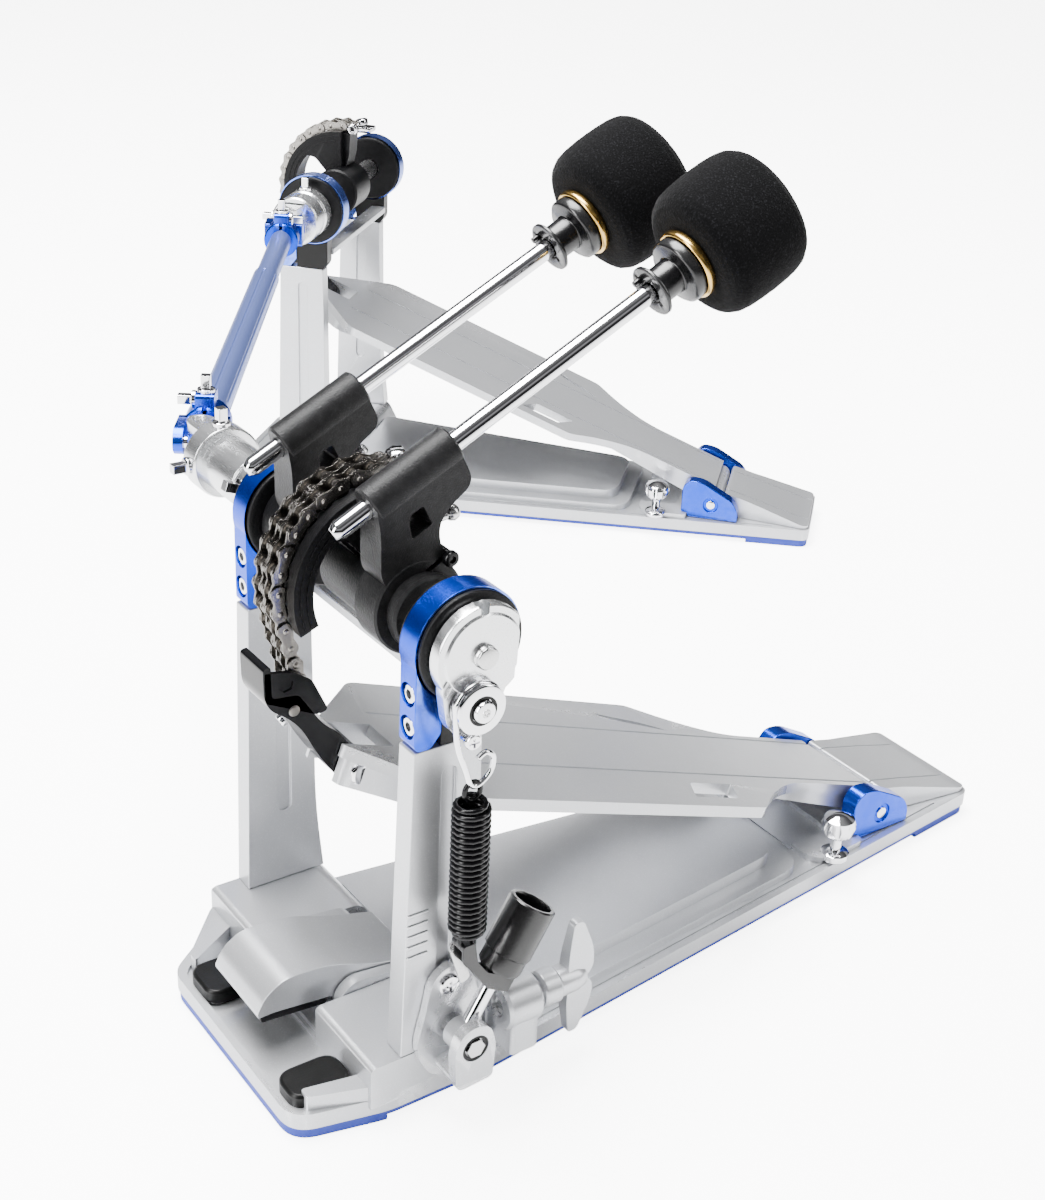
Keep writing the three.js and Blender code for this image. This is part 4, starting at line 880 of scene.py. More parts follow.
# %% Placing the heel parts
for label, place in (("main", MAIN), ("second", SECOND)):
    prefix = "" if label == "main" else "second_"
    main = label == "main"
    finished(make_brace(), label + " brace", "frame", ["post_brace"] if main else [], place, 0.3)
    finished(make_heel(), label + " heel plate", "frame", ["heel_plate"] if main else [], place, 0.5)
    for side, word in ((-1, "near"), (1, "far")):
        hinge = make_hinge_block()
        hinge = mirrored(hinge) if side < 0 else hinge
        finished(hinge, f"{label} {word} hinge block", "frame", [f"{prefix}{word}_hinge_block"], place)
    finished(painted(pin(3, -34.3, 34.3, HINGE, (1, 0, 0)), CHROME), label + " hinge pin", "frame",
             ["hinge_pin"] if main else [], place, 0)
    finished(thumb_screw(), label + " thumb screw", "frame", [], place, 0.2)
print("heel parts placed")

# %% [markdown]
# ## Footboard
# A long plate hinged at the heel. It flares from the hinge to a wide tread and narrows again at
# the toe, where two cheeks hold the pivot of the link arm. It is drawn flat in its own place,
# then tilted about the hinge pin. The holes through it are plain slots here.

# %% The plate, its holes and grooves
BOARD = Matrix.Translation(HINGE * MM) @ Matrix.Rotation(TILT, 4, "X")
TOE = 287.2


def both_sides(points):
    left = [(-p[0],) + tuple(p[1:]) for p in reversed(points)]
    return list(points) + left


def make_board():
    corner = TOE - 29
    edge = [(10.6, TOE + 9, 2), (50, corner, 5), (50, 102, 3), (35, 83, 14), (24, 60, 14), (24, 2)]
    plate = slab(both_sides(edge), 3.8, 8.8, "z", 9)
    rib = slab([(3, -4.7), (3, 7.8), (88, 7.8), (80, 1)], -23, 23)
    barrel = pin(6.2, -24, 24, (0, 0, 0), (1, 0, 0), 0.5, 48)
    cheeks = []
    for side in (-1, 1):
        line = [(9.3, TOE + 8), (13, TOE + 7, 2), (15.2, TOE + 3, 2), (28, corner + 12, 4), (26, corner - 6, 3),
                (9.3, corner - 16)]
        cheeks.append(slab([(side * a, b, *c) for a, b, *c in line], -6.6, 4.8, "z"))
    cut(plate, rib, barrel, *cheeks, joined=True)
    cut(plate, block(-9.3, 9.3, TOE - 15, TOE + 40, -20, 40),
        slab([(-9.3, TOE - 15.5), (9.3, TOE - 15.5), (0, TOE - 40)], -20, 7.4, "z"),
        pin(3.2, -60, 60, (0, 0, 0), (1, 0, 0), 0, 32))
    cut(plate, slab([(-42, 112, 2), (-42, 138, 2), (-29, 130, 2), (-29, 104, 2)], -20, 20, "z"),
        slab([(24, 96), (31, 122, 3), (38, 134), (31, 108, 3)], -20, 20, "z"))
    for side in (-1, 1):
        cut(plate, block(side * 20 - 0.7, side * 20 + 0.7, 1, corner + 9, 8, 20))
    parts = [painted(plate, SILVER)]
    parts.append(painted(pin(3, -14.6, 14.6, (0, TOE, 0), (1, 0, 0)), CHROME))
    parts.append(screw((-15, TOE, 0), (-1, 0, 0), 5, 1.8, "slot"))
    parts.append(screw((15, TOE, 0), (1, 0, 0), 4.4, 1.4, "slot"))
    return merge(*parts)


print('board ready')

# %% [markdown]
# The same board serves both pedals. Each turns with its own body.


# %% Placing the footboards
for prefix, place in (("", MAIN), ("second_", SECOND)):
    finished(make_board(), prefix + "footboard plate", prefix + "footboard", [prefix + "footboard"],
             place @ BOARD, 0.6)
print("footboard tilted", round(math.degrees(TILT), 1), "degrees")

# %% [markdown]
# ## Link arm
# A curved black arm joins the footboard's toe to the chain. It is a bent channel with a wide
# housing at its top, where the chain's last links hang, and a lug on its near side.

# %% The arm
TOE_AT = HINGE + Vector((0, TOE * math.cos(TILT), TOE * math.sin(TILT)))
ARM = Matrix.Translation(TOE_AT * MM)


def make_arm():
    shell = slab([(-5.5, -4, 4), (3, -8, 5), (14, 7, 12), (23, 25, 8), (36, 34.5, 6), (36.4, 50, 1.5),
                  (33.3, 50.4, 1), (33.1, 37.5, 2), (22.6, 36.5, 2), (12.5, 21, 8), (6, 16, 4), (1, 8, 5),
                  (-5, 4, 4)], -8.8, 8.8, "x", 9)
    channel = slab([(16, 26, 1), (14, 22, 6), (4, 17, 2), (0, 40), (25.2, 60), (25.2, 36.2)], -6.9, 9.9)
    cut(shell, channel, pin(3.2, -20, 20, (0, 0, 0), (1, 0, 0), 0, 32))
    lug = slab([(17, 41, 2), (24, 46, 3), (35.8, 48.4, 1), (35.8, 36.4, 2), (15, 26, 3), (10.5, 27, 2)],
               -8.8, -7.1, "x", 8)
    dent = turned([(0, -9.4), (3, -9.4), (3, -8.2), (0, -8.2)], (0, 27.4, 41.6), (1, 0, 0), 6)
    cut(lug, dent)
    parts = [painted(shell, SMOOTH_BLACK), painted(lug, SMOOTH_BLACK)]
    parts.append(screw((-8.6, 24.4, 30.4), (-1, 0, 0), 2.2, 0.8, "none", CHAIN))
    parts.append(screw((4, 22.6, 19.6), (0, 0.87, -0.5), 2.6, 1.4, "cross"))
    return merge(*parts)


for prefix, place in (("", MAIN), ("second_", SECOND)):
    finished(make_arm(), prefix + "curved arm", prefix + "link_arm", [prefix + "link_arm"],
             place @ ARM, 0.4)
print("arm pivot at", [round(v, 1) for v in TOE_AT])

# %% [markdown]
# ## Double roller chain
# Roller chain is inner links with rollers between outer links with pins. Each link is made by one
# function, once for every pair of pins. The figure-eight plates come from two arcs and a waist.


# %% One link
def plate_line(length):
    line = []
    for k in range(-6, 7):
        turn = math.pi * k / 12
        line.append((length + 3.1 * math.cos(turn), 3.1 * math.sin(turn)))
    line.append((length / 2, 2.1))
    for k in range(6, 19):
        turn = math.pi * k / 12
        line.append((3.1 * math.cos(turn), 3.1 * math.sin(turn)))
    line.append((length / 2, -2.1))
    return line


print('plate outline ready')

# %% [markdown]
# A double chain has two rows of rollers on common pins. Outer plates and inner plates take turns,
# so a link is made either with long pins or with rollers.


# %% One double link
ROWS = (-2.65, 4.65)


def make_link(start, end, outer):
    """A double link from pin to pin, both given as (y, z)."""
    way = Vector((end[0] - start[0], end[1] - start[1]))
    turn = math.atan2(way.y, way.x)
    parts = []
    for row in ROWS:
        for side in (-1, 1):
            inner_face = 2.7 if outer else 1.6
            low = row + side * inner_face
            high = row + side * (inner_face + 0.9)
            parts.append(slab(plate_line(way.length), min(low, high), max(low, high)))
        for at in ((0, 0), (way.length, 0)):
            if outer:
                parts.append(turned([(0, -3.9), (0.9, -3.9), (1.3, -3.5), (1.3, 3.5), (0.9, 3.9), (0, 3.9)],
                                    (row, *at), (1, 0, 0), 14))
            else:
                parts.append(turned([(0, -1.5), (2.1, -1.5), (2.1, 1.5), (0, 1.5)], (row, *at), (1, 0, 0), 18))
    link = merge(*parts)
    moved(link, Matrix.Rotation(turn, 4, "X"))
    shifted(link, 0, *start)
    return painted(link, CHAIN)


print('link ready')

# %% [markdown]
# The pins on the cam lie on a circle, one pitch apart. The links that unwind are grouped in rows
# that each ride on their own body, and the lowest four hang straight.


# %% Rows of links
def cam_point(degrees, radius=CHAIN_R):
    turn = math.radians(degrees)
    return (radius * math.cos(turn), SHAFT_Z + radius * math.sin(turn))


def pin_at(i):
    return cam_point(LEAVE + i * LINK_DEG)


def chain_rows(first, count):
    pins = [first - k for k in range(count)]
    return merge(*[make_link(pin_at(i), pin_at(i - 1), i % 2 == 0) for i in pins])


def drop_links():
    start = Vector(pin_at(1))
    way = (Vector(pin_at(0)) - start).normalized() * PITCH
    parts = [make_link(start + way * k, start + way * (k + 1), k % 2 == 1) for k in range(4)]
    return merge(*parts)


def kept_chain():
    parts = [chain_rows(11, 5)]
    y, z = pin_at(11)
    parts.append(painted(pin(2.2, -7.6, 9.4, (0, y, z), (1, 0, 0), 0.5, 24), CHROME))
    parts.append(screw((-7.4, y, z), (-1, 0, 0), 3.4, 1.6, "socket"))
    bolt = turned([(0, 0), (3.4, 0), (3.8, 0.5), (3.8, 3.2), (3.2, 4), (0, 4.2)],
                  (1, y - 4, z + 1.4), (0, 0.2, 1), 6)
    tab = slab([(y - 11, z - 2.4, 1), (y + 1, z - 2.4, 1), (y + 1, z + 0.8, 1), (y - 11, z + 0.8, 1)],
               -4.5, 6.5)
    return merge(*parts, painted(bolt, CHROME), painted(tab, CHROME))


print('rows ready')

# %% [markdown]
# Each row rides on its own body, so the chain bends at the pins when the cam turns.


# %% Placing the chain
for prefix, place in (("", MAIN), ("second_", SECOND)):
    finished(drop_links(), prefix + "chain drop links", prefix + "chain_drop", [prefix + "chain_drop"],
             place, 0)
    body = "second_shaft" if prefix else "cam_shaft"
    finished(kept_chain(), prefix + "chain over cam", body, [prefix + "chain_on_cam"], place, 0)
for i, first, count in ((1, 6, 2), (2, 4, 2), (3, 2, 1)):
    for prefix, place in (("", MAIN), ("second_", SECOND)):
        finished(chain_rows(first, count), f"{prefix}chain row {i}", f"{prefix}chain_link_{i}",
                 [f"{prefix}chain_link_{i}"], place, 0)
print("chain pitch", PITCH, "mm in two rows")

# %% [markdown]
# ## Cam, shaft and hubs
# The chain lies on a black sector with a thicker rim on its near side, so that it can't slip
# off. The sector is drawn as an outline of arcs and stays open inside, so that the hub shows
# behind its curved band.


# %% The cam
def arc(radius, start, end, steps=24):
    return [cam_point(start + (end - start) * k / steps, radius) for k in range(steps + 1)]


def make_cam():
    seat, low, web = CHAIN_R - 3.7, LEAVE - 2, 48
    inside = seat - 5.5
    sector = slab(arc(seat, low, 88, 40) + [cam_point(100, seat), cam_point(104, 22), cam_point(104, 13),
                                            cam_point(web, 13), (*cam_point(web, 26), 3)]
                  + arc(inside, web - 5, low, 30), -7.1, 9.5)
    rim = slab(arc(seat + 1.2, low, 92, 40) + [cam_point(96, 13), cam_point(web + 6, 13),
                                               (*cam_point(web + 3, 25), 3)]
               + arc(inside - 1, web - 4, low, 30), -12, -7)
    hub = turned([(0, -19.5), (13.6, -19.5), (14.6, -18.6), (14.6, 9.3), (0, 9.3)], (0, 0, SHAFT_Z), (1, 0, 0), 64)
    cut(sector, rim, hub, joined=True)
    cut(sector, pin(6.1, -40, 40, (0, 0, SHAFT_Z), (1, 0, 0), 0, 48))
    ribs = [slab(arc(r + 0.45, low + 3, 86, 30) + arc(r - 0.45, 86, low + 3, 30), -12.4, -11.6)
            for r in (31, 33.6)]
    return painted(merge(sector, *ribs), BLACK)


print('cam ready')

# %% [markdown]
# The main shaft is six-sided between the posts, so that the hubs can't turn on it, and round at its
# end. The second shaft ends in a wide collar with two drum key screws.


# %% Shafts
def make_main_shaft():
    six = [(6 * math.cos(math.pi * k / 3), SHAFT_Z + 6 * math.sin(math.pi * k / 3), 1.4) for k in range(6)]
    middle = slab(six, -53, 22, "x", 4)
    outer = turned([(0, -78.2), (3.6, -78.2), (4.2, -77.6), (4.2, -75.2), (6, -75.2), (6, -52), (0, -52)],
                   (0, 0, SHAFT_Z), (1, 0, 0), 40)
    return painted(merge(middle, outer), STEEL)


def make_second_shaft():
    parts = [painted(pin(6, -92, 66.9, (0, 0, SHAFT_Z), (1, 0, 0)), STEEL)]
    collar = turned([(0, -97), (13.6, -97), (14.5, -96), (14.5, -84), (13.4, -83), (13.4, -81), (14.5, -80),
                     (14.5, -71), (13.6, -69.9), (0, -69.9)],
                    (0, 0, SHAFT_Z), (1, 0, 0), 56)
    parts.append(painted(collar, MACHINED))
    parts.append(key_screw((-76, 0, SHAFT_Z + 14), (0, 0, 1), 8))
    parts.append(key_screw((-90, 14, SHAFT_Z), (0, 1, 0), 8))
    return merge(*parts)


finished(make_cam(), "chain cam", "cam_shaft", ["cam"], MAIN, 0.4)
finished(make_cam(), "second chain cam", "second_shaft", [], SECOND, 0.4)
finished(make_main_shaft(), "cam shaft", "cam_shaft", ["main_shaft"], MAIN, 0)
print("cam covers", round(5 * LINK_DEG), "degrees past the moving links")

# %% [markdown]
# ## Universal joints and drive tube
# A fork on each shaft holds one pair of pins of a small cross, and a fork on the tube holds the
# other pair. The tube is pale blue, its end forks are deep blue, and both are clamped with
# square-headed screws that a drum key fits.


# %% Forks, cross and tube
def make_fork(reach, material):
    parts = []
    for side in (-1, 1):
        ear = slab([(-reach, 6.1, 1), (0, 6.1, 6), (4.5, 2, 3), (4.5, -2, 3), (0, -6.1, 6), (-reach, -6.1, 1)],
                   min(side * 6.6, side * 10.8), max(side * 6.6, side * 10.8), "z", 9)
        cut(ear, pin(2.9, -20, 20, (0, 0, 0), (0, 0, 1), 0, 28))
        parts.append(ear)
    parts.append(slab([(-reach, 6.1), (-reach + 3, 6.1), (-reach + 3, -6.1), (-reach, -6.1)], -10.8, 10.8, "z"))
    return painted(merge(*parts), material)


def make_cross():
    core = slab([(-4.6, -4.6, 1), (4.6, -4.6, 1), (4.6, 4.6, 1), (-4.6, 4.6, 1)], -4.6, 4.6, "z")
    pins = [pin(2.6, -9.8, 9.8, (0, 0, 0), axis, 0.4, 28) for axis in ((0, 0, 1), (0, 1, 0))]
    caps = [turned([(0, 9.2), (1.3, 9.2), (1.3, 9.9), (0, 9.9)], (0, 0, 0), axis, 16)
            for axis in ((0, 0, 1), (0, 0, -1), (0, 1, 0), (0, -1, 0))]
    return merge(painted(core, BLUE), *[painted(p, CHROME) for p in pins], *[painted(c, STEEL) for c in caps])


print('fork and cross ready')

# %% [markdown]
# The tube lies on the line between the two joints' centres. It is made along X from the first joint
# and placed by one matrix, so both joints keep their own centres. Six fine flutes run along it.


# %% Drive tube
CROSS = Vector((138, 0, SHAFT_Z))
SECOND_CROSS = SECOND @ (Vector((-112, 0, SHAFT_Z)) * MM) / MM
ALONG = SECOND_CROSS - CROSS
LINE = Matrix.Translation(CROSS * MM) @ Matrix.Rotation(math.atan2(ALONG.y, ALONG.x), 4, "Z")
LENGTH = ALONG.length


def tube_end():
    fork = moved(make_fork(15.5, BLUE), Matrix.Rotation(math.radians(90), 4, "X"))
    moved(fork, Matrix.Rotation(math.pi, 4, "Z"))
    sleeve = turned([(0, 14), (9, 14), (9.8, 15), (9.8, 28), (9, 29), (0, 29)], (0, 0, 0), (1, 0, 0), 48)
    cut(sleeve, block(14, 30, -1, 1, 2, 20))
    lug = slab([(16, 8), (16, 14.6, 2), (27, 14.6, 2), (27, 8)], -4, 4, "y")
    parts = [fork, painted(sleeve, BLUE), painted(lug, BLUE), key_screw((21.5, 4, 11), (0, 1, 0), 8),
             key_screw((21.5, 0, 14), (0, 0, 1), 8)]
    return merge(*parts)


def make_tube():
    near_end = tube_end()
    far_end = moved(tube_end(), Matrix.Translation((LENGTH * MM, 0, 0)) @ Matrix.Rotation(math.pi, 4, "Z"))
    outer = turned([(6.1, 27), (7, 27), (7, LENGTH * 0.7 - 1), (6.5, LENGTH * 0.7),
                    (6.1, LENGTH * 0.7), (6.1, 27)],
                   (0, 0, 0), (1, 0, 0), 48)
    for k in range(6):
        turn = math.pi * (k + 0.5) / 3
        groove = pin(0.7, 40, LENGTH * 0.7 - 6, (0, 7.2 * math.cos(turn), 7.2 * math.sin(turn)), (1, 0, 0), 0, 12)
        cut(outer, groove)
    inner = pin(6, 30, LENGTH - 27, (0, 0, 0), (1, 0, 0), 0.4, 48)
    return merge(near_end, far_end, painted(outer, BLUE_TUBE), painted(inner, BLUE_TUBE))


print('tube ready')

# %% [markdown]
# Each cross rides on its own body between two forks, as the real one does.


# %% Placing the drive line
finished(make_tube(), "blue drive tube", "drive_tube", ["drive_tube"], LINE, 0.3)
finished(make_cross(), "main joint cross", "main_cross", ["main_cross"], LINE, 0.3)
finished(make_cross(), "second joint cross", "second_cross", ["second_cross"],
         LINE @ Matrix.Translation((LENGTH * MM, 0, 0)), 0.3)
second_fork = moved(make_fork(15.5, MACHINED), Matrix.Rotation(math.pi, 4, "Z"))
second_fork = shifted(second_fork, -112, 0, SHAFT_Z)
finished(merge(make_second_shaft(), second_fork), "second shaft and fork", "second_shaft",
         ["second_cam"], SECOND, 0.3)
print("drive tube", round(LENGTH), "mm between joint centres")

# %% [markdown]
# ## Far sleeve
# The far beater turns on a hollow shaft through the far bearing. Outside the post it carries a
# machined collar, a wider ring with a drum key screw, and the fork of the first joint.


# %% The sleeve
def make_sleeve():
    inner = turned([(0, 24), (9.4, 24), (9.4, 42.1), (0, 42.1)], (0, 0, SHAFT_Z), (1, 0, 0), 56)
    drum = turned([(0, 42.1), (15, 42.1), (16, 43), (16, 51.6), (15, 52.4), (6, 52.4), (6, 69.7), (0, 69.7)],
                  (0, 0, SHAFT_Z), (1, 0, 0), 64)
    collar = turned([(0, 69.7), (10.8, 69.7), (11.6, 70.5), (11.6, 84), (11, 84.6), (11, 86), (11.6, 86.6),
                     (11.6, 112), (0, 112)], (0, 0, SHAFT_Z), (1, 0, 0), 64)
    ring = turned([(0, 112), (14.2, 112), (15, 112.8), (15, 122), (14.2, 123), (0, 123)],
                  (0, 0, SHAFT_Z), (1, 0, 0), 64)
    fork = shifted(make_fork(15.5, MACHINED), *CROSS)
    return merge(painted(inner, STEEL), painted(drum, BLACK), painted(collar, MACHINED), painted(ring, MACHINED),
                 fork, key_screw((78, 10.8, SHAFT_Z + 4), (0, 1, 0.35), 8),
                 key_screw((117, 0, SHAFT_Z + 14.4), (0, 0, 1), 8),
                 key_screw((117, 14.4, SHAFT_Z), (0, 1, 0), 8))


finished(make_sleeve(), "far beater sleeve", "far_shaft", ["far_sleeve"], MAIN, 0.25)
print("sleeve placed")

# %% [markdown]
# ## Beaters
# Each beater's rod slides in the socket of a black casting, which clamps round its shaft. The
# castings are powder coated, so their surface is a fine crinkle. Their outline is drawn along
# and across the rod.


# %% Holder, rod and spool
ROD_N = Vector((math.cos(LEAN), math.sin(LEAN)))
ROD_D = Vector((-math.sin(LEAN), math.cos(LEAN)))
ROD_WAY = (0, ROD_D.x, ROD_D.y)


def beater(n, s):
    return ROD_N * n + ROD_D * s + Vector((0, SHAFT_Z))


def with_r(n, s, radius=0):
    point = beater(n, s)
    return (point.x, point.y, radius)


def rod_foot(x):
    return (x, *beater(41.5, 0))


print('beater axes ready')

# %% [markdown]
# The holder is one outline with the hub and the socket joined to it. A window and a saw cut let it
# spring when its bolt is tightened.


# %% Holder
def make_holder(x, bore, hub_side):
    plate = slab([with_r(44, 38.4, 1), with_r(28, 38.2, 8), with_r(26.4, 27, 3), with_r(23.5, 21, 2),
                  with_r(20, 18.6, 2), with_r(15, 17, 2), with_r(7, 19.5, 2), with_r(3, 16, 1), with_r(-2, 0),
                  with_r(18, -8, 5), with_r(34, 0, 4), with_r(44, 3.1, 1)], x - 7, x + 7, "x", 8)
    hub = turned([(0, -7.4), (17.2, -7.4), (18, -6.6), (18, 6.6), (17.2, 7.4), (0, 7.4)],
                 (x, 0, SHAFT_Z), (1, 0, 0), 72)
    socket = turned([(0, 2.6), (6.7, 2.6), (7.5, 3.4), (7.5, 38.2), (6.7, 39), (0, 39)], rod_foot(x), ROD_WAY, 56)
    cut(plate, hub, socket, joined=True)
    cut(plate, turned([(0, -60), (3.8, -60), (3.8, 90), (0, 90)], rod_foot(x), ROD_WAY, 32))
    window = slab([with_r(33.4, 11.5, 1), with_r(33.4, 18, 1), with_r(25, 18, 1), with_r(25, 9, 1)],
                  x - 20, x + 20)
    split = slab([with_r(11.6, 40), with_r(9.8, 40), with_r(9.8, 8), with_r(11.6, 8)], x - 20, x + 20)
    cut(plate, window, split, turned([(0, -30), (bore, -30), (bore, 30), (0, 30)], (x, 0, SHAFT_Z), (1, 0, 0), 56))
    parts = [painted(plate, BLACK)]
    if hub_side:
        disc = turned([(6.1, -13.6), (13.2, -13.6), (14.2, -12.6), (14.2, -9.6), (13.4, -9), (13.4, -7),
                       (6.1, -7), (6.1, -13.6)], (x, 0, SHAFT_Z), (1, 0, 0), 72)
        parts.append(painted(disc, BLACK))
    y, z = beater(10, 17.4)
    parts.append(painted(pin(2.4, -9.4, 6.6, (x, y, z), (1, 0, 0), 0.5, 28), SMOOTH_BLACK))
    parts.append(screw((x - 8.8, y, z), (-1, 0, 0), 3, 1.6, "socket", SMOOTH_BLACK))
    y, z = beater(20, 24)
    ball = turned([(0, -4), (1.8, -4), (1.8, 2), (2.6, 3), (3.1, 4.6), (2.6, 6.2), (1.4, 7.2), (0, 7.4)],
                  (x, y, z), (0, *(ROD_D * 0.6 - ROD_N * 0.2)), 32)
    parts.append(painted(ball, STEEL))
    y, z = beater(29.2, 7)
    nut = turned([(0, 0), (3.3, 0), (3.3, 5), (0, 5)], (x, y, z), ROD_WAY, 4)
    parts.append(painted(nut, STEEL))
    return merge(*parts)


print('holder ready')

# %% [markdown]
# The rod is chrome steel. A black spool and a gold ring sit between it and the head. All three are
# turned about the rod's own line.


# %% Rod, spool and ring
def make_rod(x):
    rod = turned([(0, -12.4), (2.2, -12.4), (3.6, -9.8), (3.6, 131), (0, 131)], rod_foot(x), ROD_WAY, 40)
    low, top = 131, 146.8
    spool = turned([(3.65, low), (9.2, low), (9.7, low + 0.4), (9.7, low + 1.3), (9.2, low + 1.7), (7.2, low + 2),
                    (6.7, low + 2.6), (6.7, top - 5.6), (7.4, top - 4.8), (11, top - 4.4), (12.2, top - 3.4),
                    (12.3, top - 0.4), (11.9, top), (3.65, top), (3.65, low)], rod_foot(x), ROD_WAY, 64)
    cut(spool, turned([(0, low - 3), (5, low - 3), (5, low + 3), (0, low + 3)], rod_foot(x), ROD_WAY, 40))
    collar = turned([(3.65, low + 0.6), (4.9, low + 0.6), (4.9, low + 4), (3.65, low + 4), (3.65, low + 0.6)],
                    rod_foot(x), ROD_WAY, 40)
    for k in range(4):
        turn = math.radians(45 + 90 * k)
        way = Vector(ROD_WAY)
        out = Matrix.Rotation(turn, 4, way) @ Vector((1, 0, 0))
        notch = pin(1.2, low - 3, low + 1.2, Vector(rod_foot(x)) + out * 5.6, ROD_WAY, 0, 16)
        cut(spool, notch)
    return merge(painted(rod, CHROME), painted(spool, PLASTIC), painted(collar, PLASTIC))


def make_washer(x):
    ring = turned([(3.7, 147.1), (12.7, 147.1), (13.2, 147.5), (13.4, 148.1), (13.4, 149.8), (12.9, 150.6),
                   (3.7, 150.6), (3.7, 147.1)], rod_foot(x), ROD_WAY, 72)
    return painted(ring, BRASS)


print("rod and ring ready")

# %% [markdown]
# The head is a barrel of pressed felt. It is soft, so its surface is not a clean lathe shape:
# the fibres stand up in a short nap, and the barrel is a little uneven. A fine mesh is pushed
# in and out by noise, which gives the velvet outline that a bump alone would not.


# %% Felt head
def make_head(x):
    profile = [(3.9, 151.3), (13, 151.1), (18, 151.3), (21.4, 152.1), (23.6, 153.6), (24.9, 156), (25.6, 160),
               (25.9, 165), (26, 170), (25.9, 175), (25.5, 180), (24.8, 183), (23.3, 185.2), (20.6, 186.6),
               (16, 187.1), (9, 187.3), (0, 187.3)]
    smooth = []
    for (r0, d0), (r1, d1) in zip(profile, profile[1:]):
        steps = 6
        smooth += [(r0 + (r1 - r0) * k / steps, d0 + (d1 - d0) * k / steps) for k in range(steps)]
    smooth.append((0, 187.3))
    head = turned(smooth, rod_foot(x), ROD_WAY, 220)
    for vertex in head.data.vertices:
        spot = vertex.co / MM
        nap = noise.noise(spot * 2.3) * 0.1 + noise.noise(spot * 5.1) * 0.08
        swell = noise.noise(spot * 0.07) * 0.1
        vertex.co += vertex.normal * (nap + swell) * MM
    return painted(head, FELT)


print('felt head ready')

# %% [markdown]
# Holders turn with their shafts, and rods and heads slide in them.


# %% Placing the beaters
for word, x, bore, shaft in (("near", -27.8, 6.1, "cam_shaft"), ("far", 34.4, 9.5, "far_shaft")):
    rider = word + "_beater"
    finished(make_holder(x, bore, word == "near"), word + " holder", shaft,
             [rider + "_holder"], MAIN, 0.5)
    finished(make_rod(x), word + " rod and spool", rider, [rider + "_rod"], MAIN, 0)
    finished(make_washer(x), word + " ring", rider, [rider + "_washer"], MAIN, 0.15)
    head = finished(make_head(x), word + " felt head", rider, [rider + "_head"], MAIN, 0)
print("beaters lean", round(math.degrees(LEAN)), "degrees back")

# %% [markdown]
# ## Spring side
# A rocker on the shaft's end pulls the spring up through a hook that hangs over a grooved
# roller. The spring's lower end hangs on a clip of the tension rod, which a black knob adjusts.

# %% Rocker and roller
ROLLER = Vector((-78, 3.6, 178))


def make_rocker():
    disc = turned([(0, -75.5), (14.6, -75.5), (15.4, -74.7), (16.2, -74.7), (17.6, -74.7), (18.2, -73.9),
                   (18.2, -70.4), (17.6, -69.8), (0, -69.8)], (0, 0, SHAFT_Z), (1, 0, 0), 96)
    cut(disc, slab([(-40, 150), (-40, 230), (-14.8, 230), (-12, 160), (-12, 150)], -90, -60))
    arm = slab([(16.5, 189, 6), (14, 172, 8), (9.5, 166.6, 5), (3.6, 164.6, 5), (-4, 168, 6), (-11, 185, 5),
                (-8, 196, 3)], -75.2, -70.9, "x", 9)
    cut(disc, arm, joined=True)
    valley = turned([(0, -4), (10.6, -4), (9.4, 1.4), (0, 1.4)], (-75.6, 4.6, 176.6), (1, 0, 0), 64)
    cut(disc, valley, pin(4.4, -100, 0, (0, 0, SHAFT_Z), (1, 0, 0), 0, 40))
    cut(disc, turned([(0, 205), (2.7, 205), (2.7, 240), (0, 240)], (-72.6, 0, 0), (0, 0, 1), 28))
    parts = [painted(disc, MACHINED), painted(pin(5, -79, -72, (0, *ROLLER.yz), (1, 0, 0), 0.3, 40), CHROME)]
    wheel = turned([(4.6, -3.2), (8.6, -3.2), (9.3, -2.7), (9.3, -1.8), (7.3, -1.3), (7.3, 1.3), (9.3, 1.8),
                    (9.3, 2.7), (8.6, 3.2), (4.6, 3.2), (4.6, -3.2)], ROLLER, (1, 0, 0), 80)
    parts.append(painted(wheel, CHROME))
    groove = turned([(4.5, -2), (5.5, -2), (5.5, -3.3), (4.5, -3.3), (4.5, -2)], ROLLER, (1, 0, 0), 48)
    parts.append(painted(groove, RUBBER_AND_PAINTED_SHADE))
    parts.append(screw(ROLLER + Vector((-2.6, 0, 0)), (-1, 0, 0), 4.2, 2.6, "none"))
    parts.append(screw(ROLLER + Vector((-4.6, 0, 0)), (-1, 0, 0), 1.7, 0.9, "cross", STEEL))
    parts.append(screw((-79.4, 6.4, 166.6), (-1, 0.1, -0.1), 3.1, 1.8, "cross"))
    parts.append(painted(pin(2.6, -79.2, -72, (0, 6.4, 166.6), (1, 0, 0), 0.3, 24), CHROME))
    return merge(*parts)


finished(make_rocker(), "spring rocker", "cam_shaft", ["rocker"], MAIN, 0.3)
print("rocker placed")
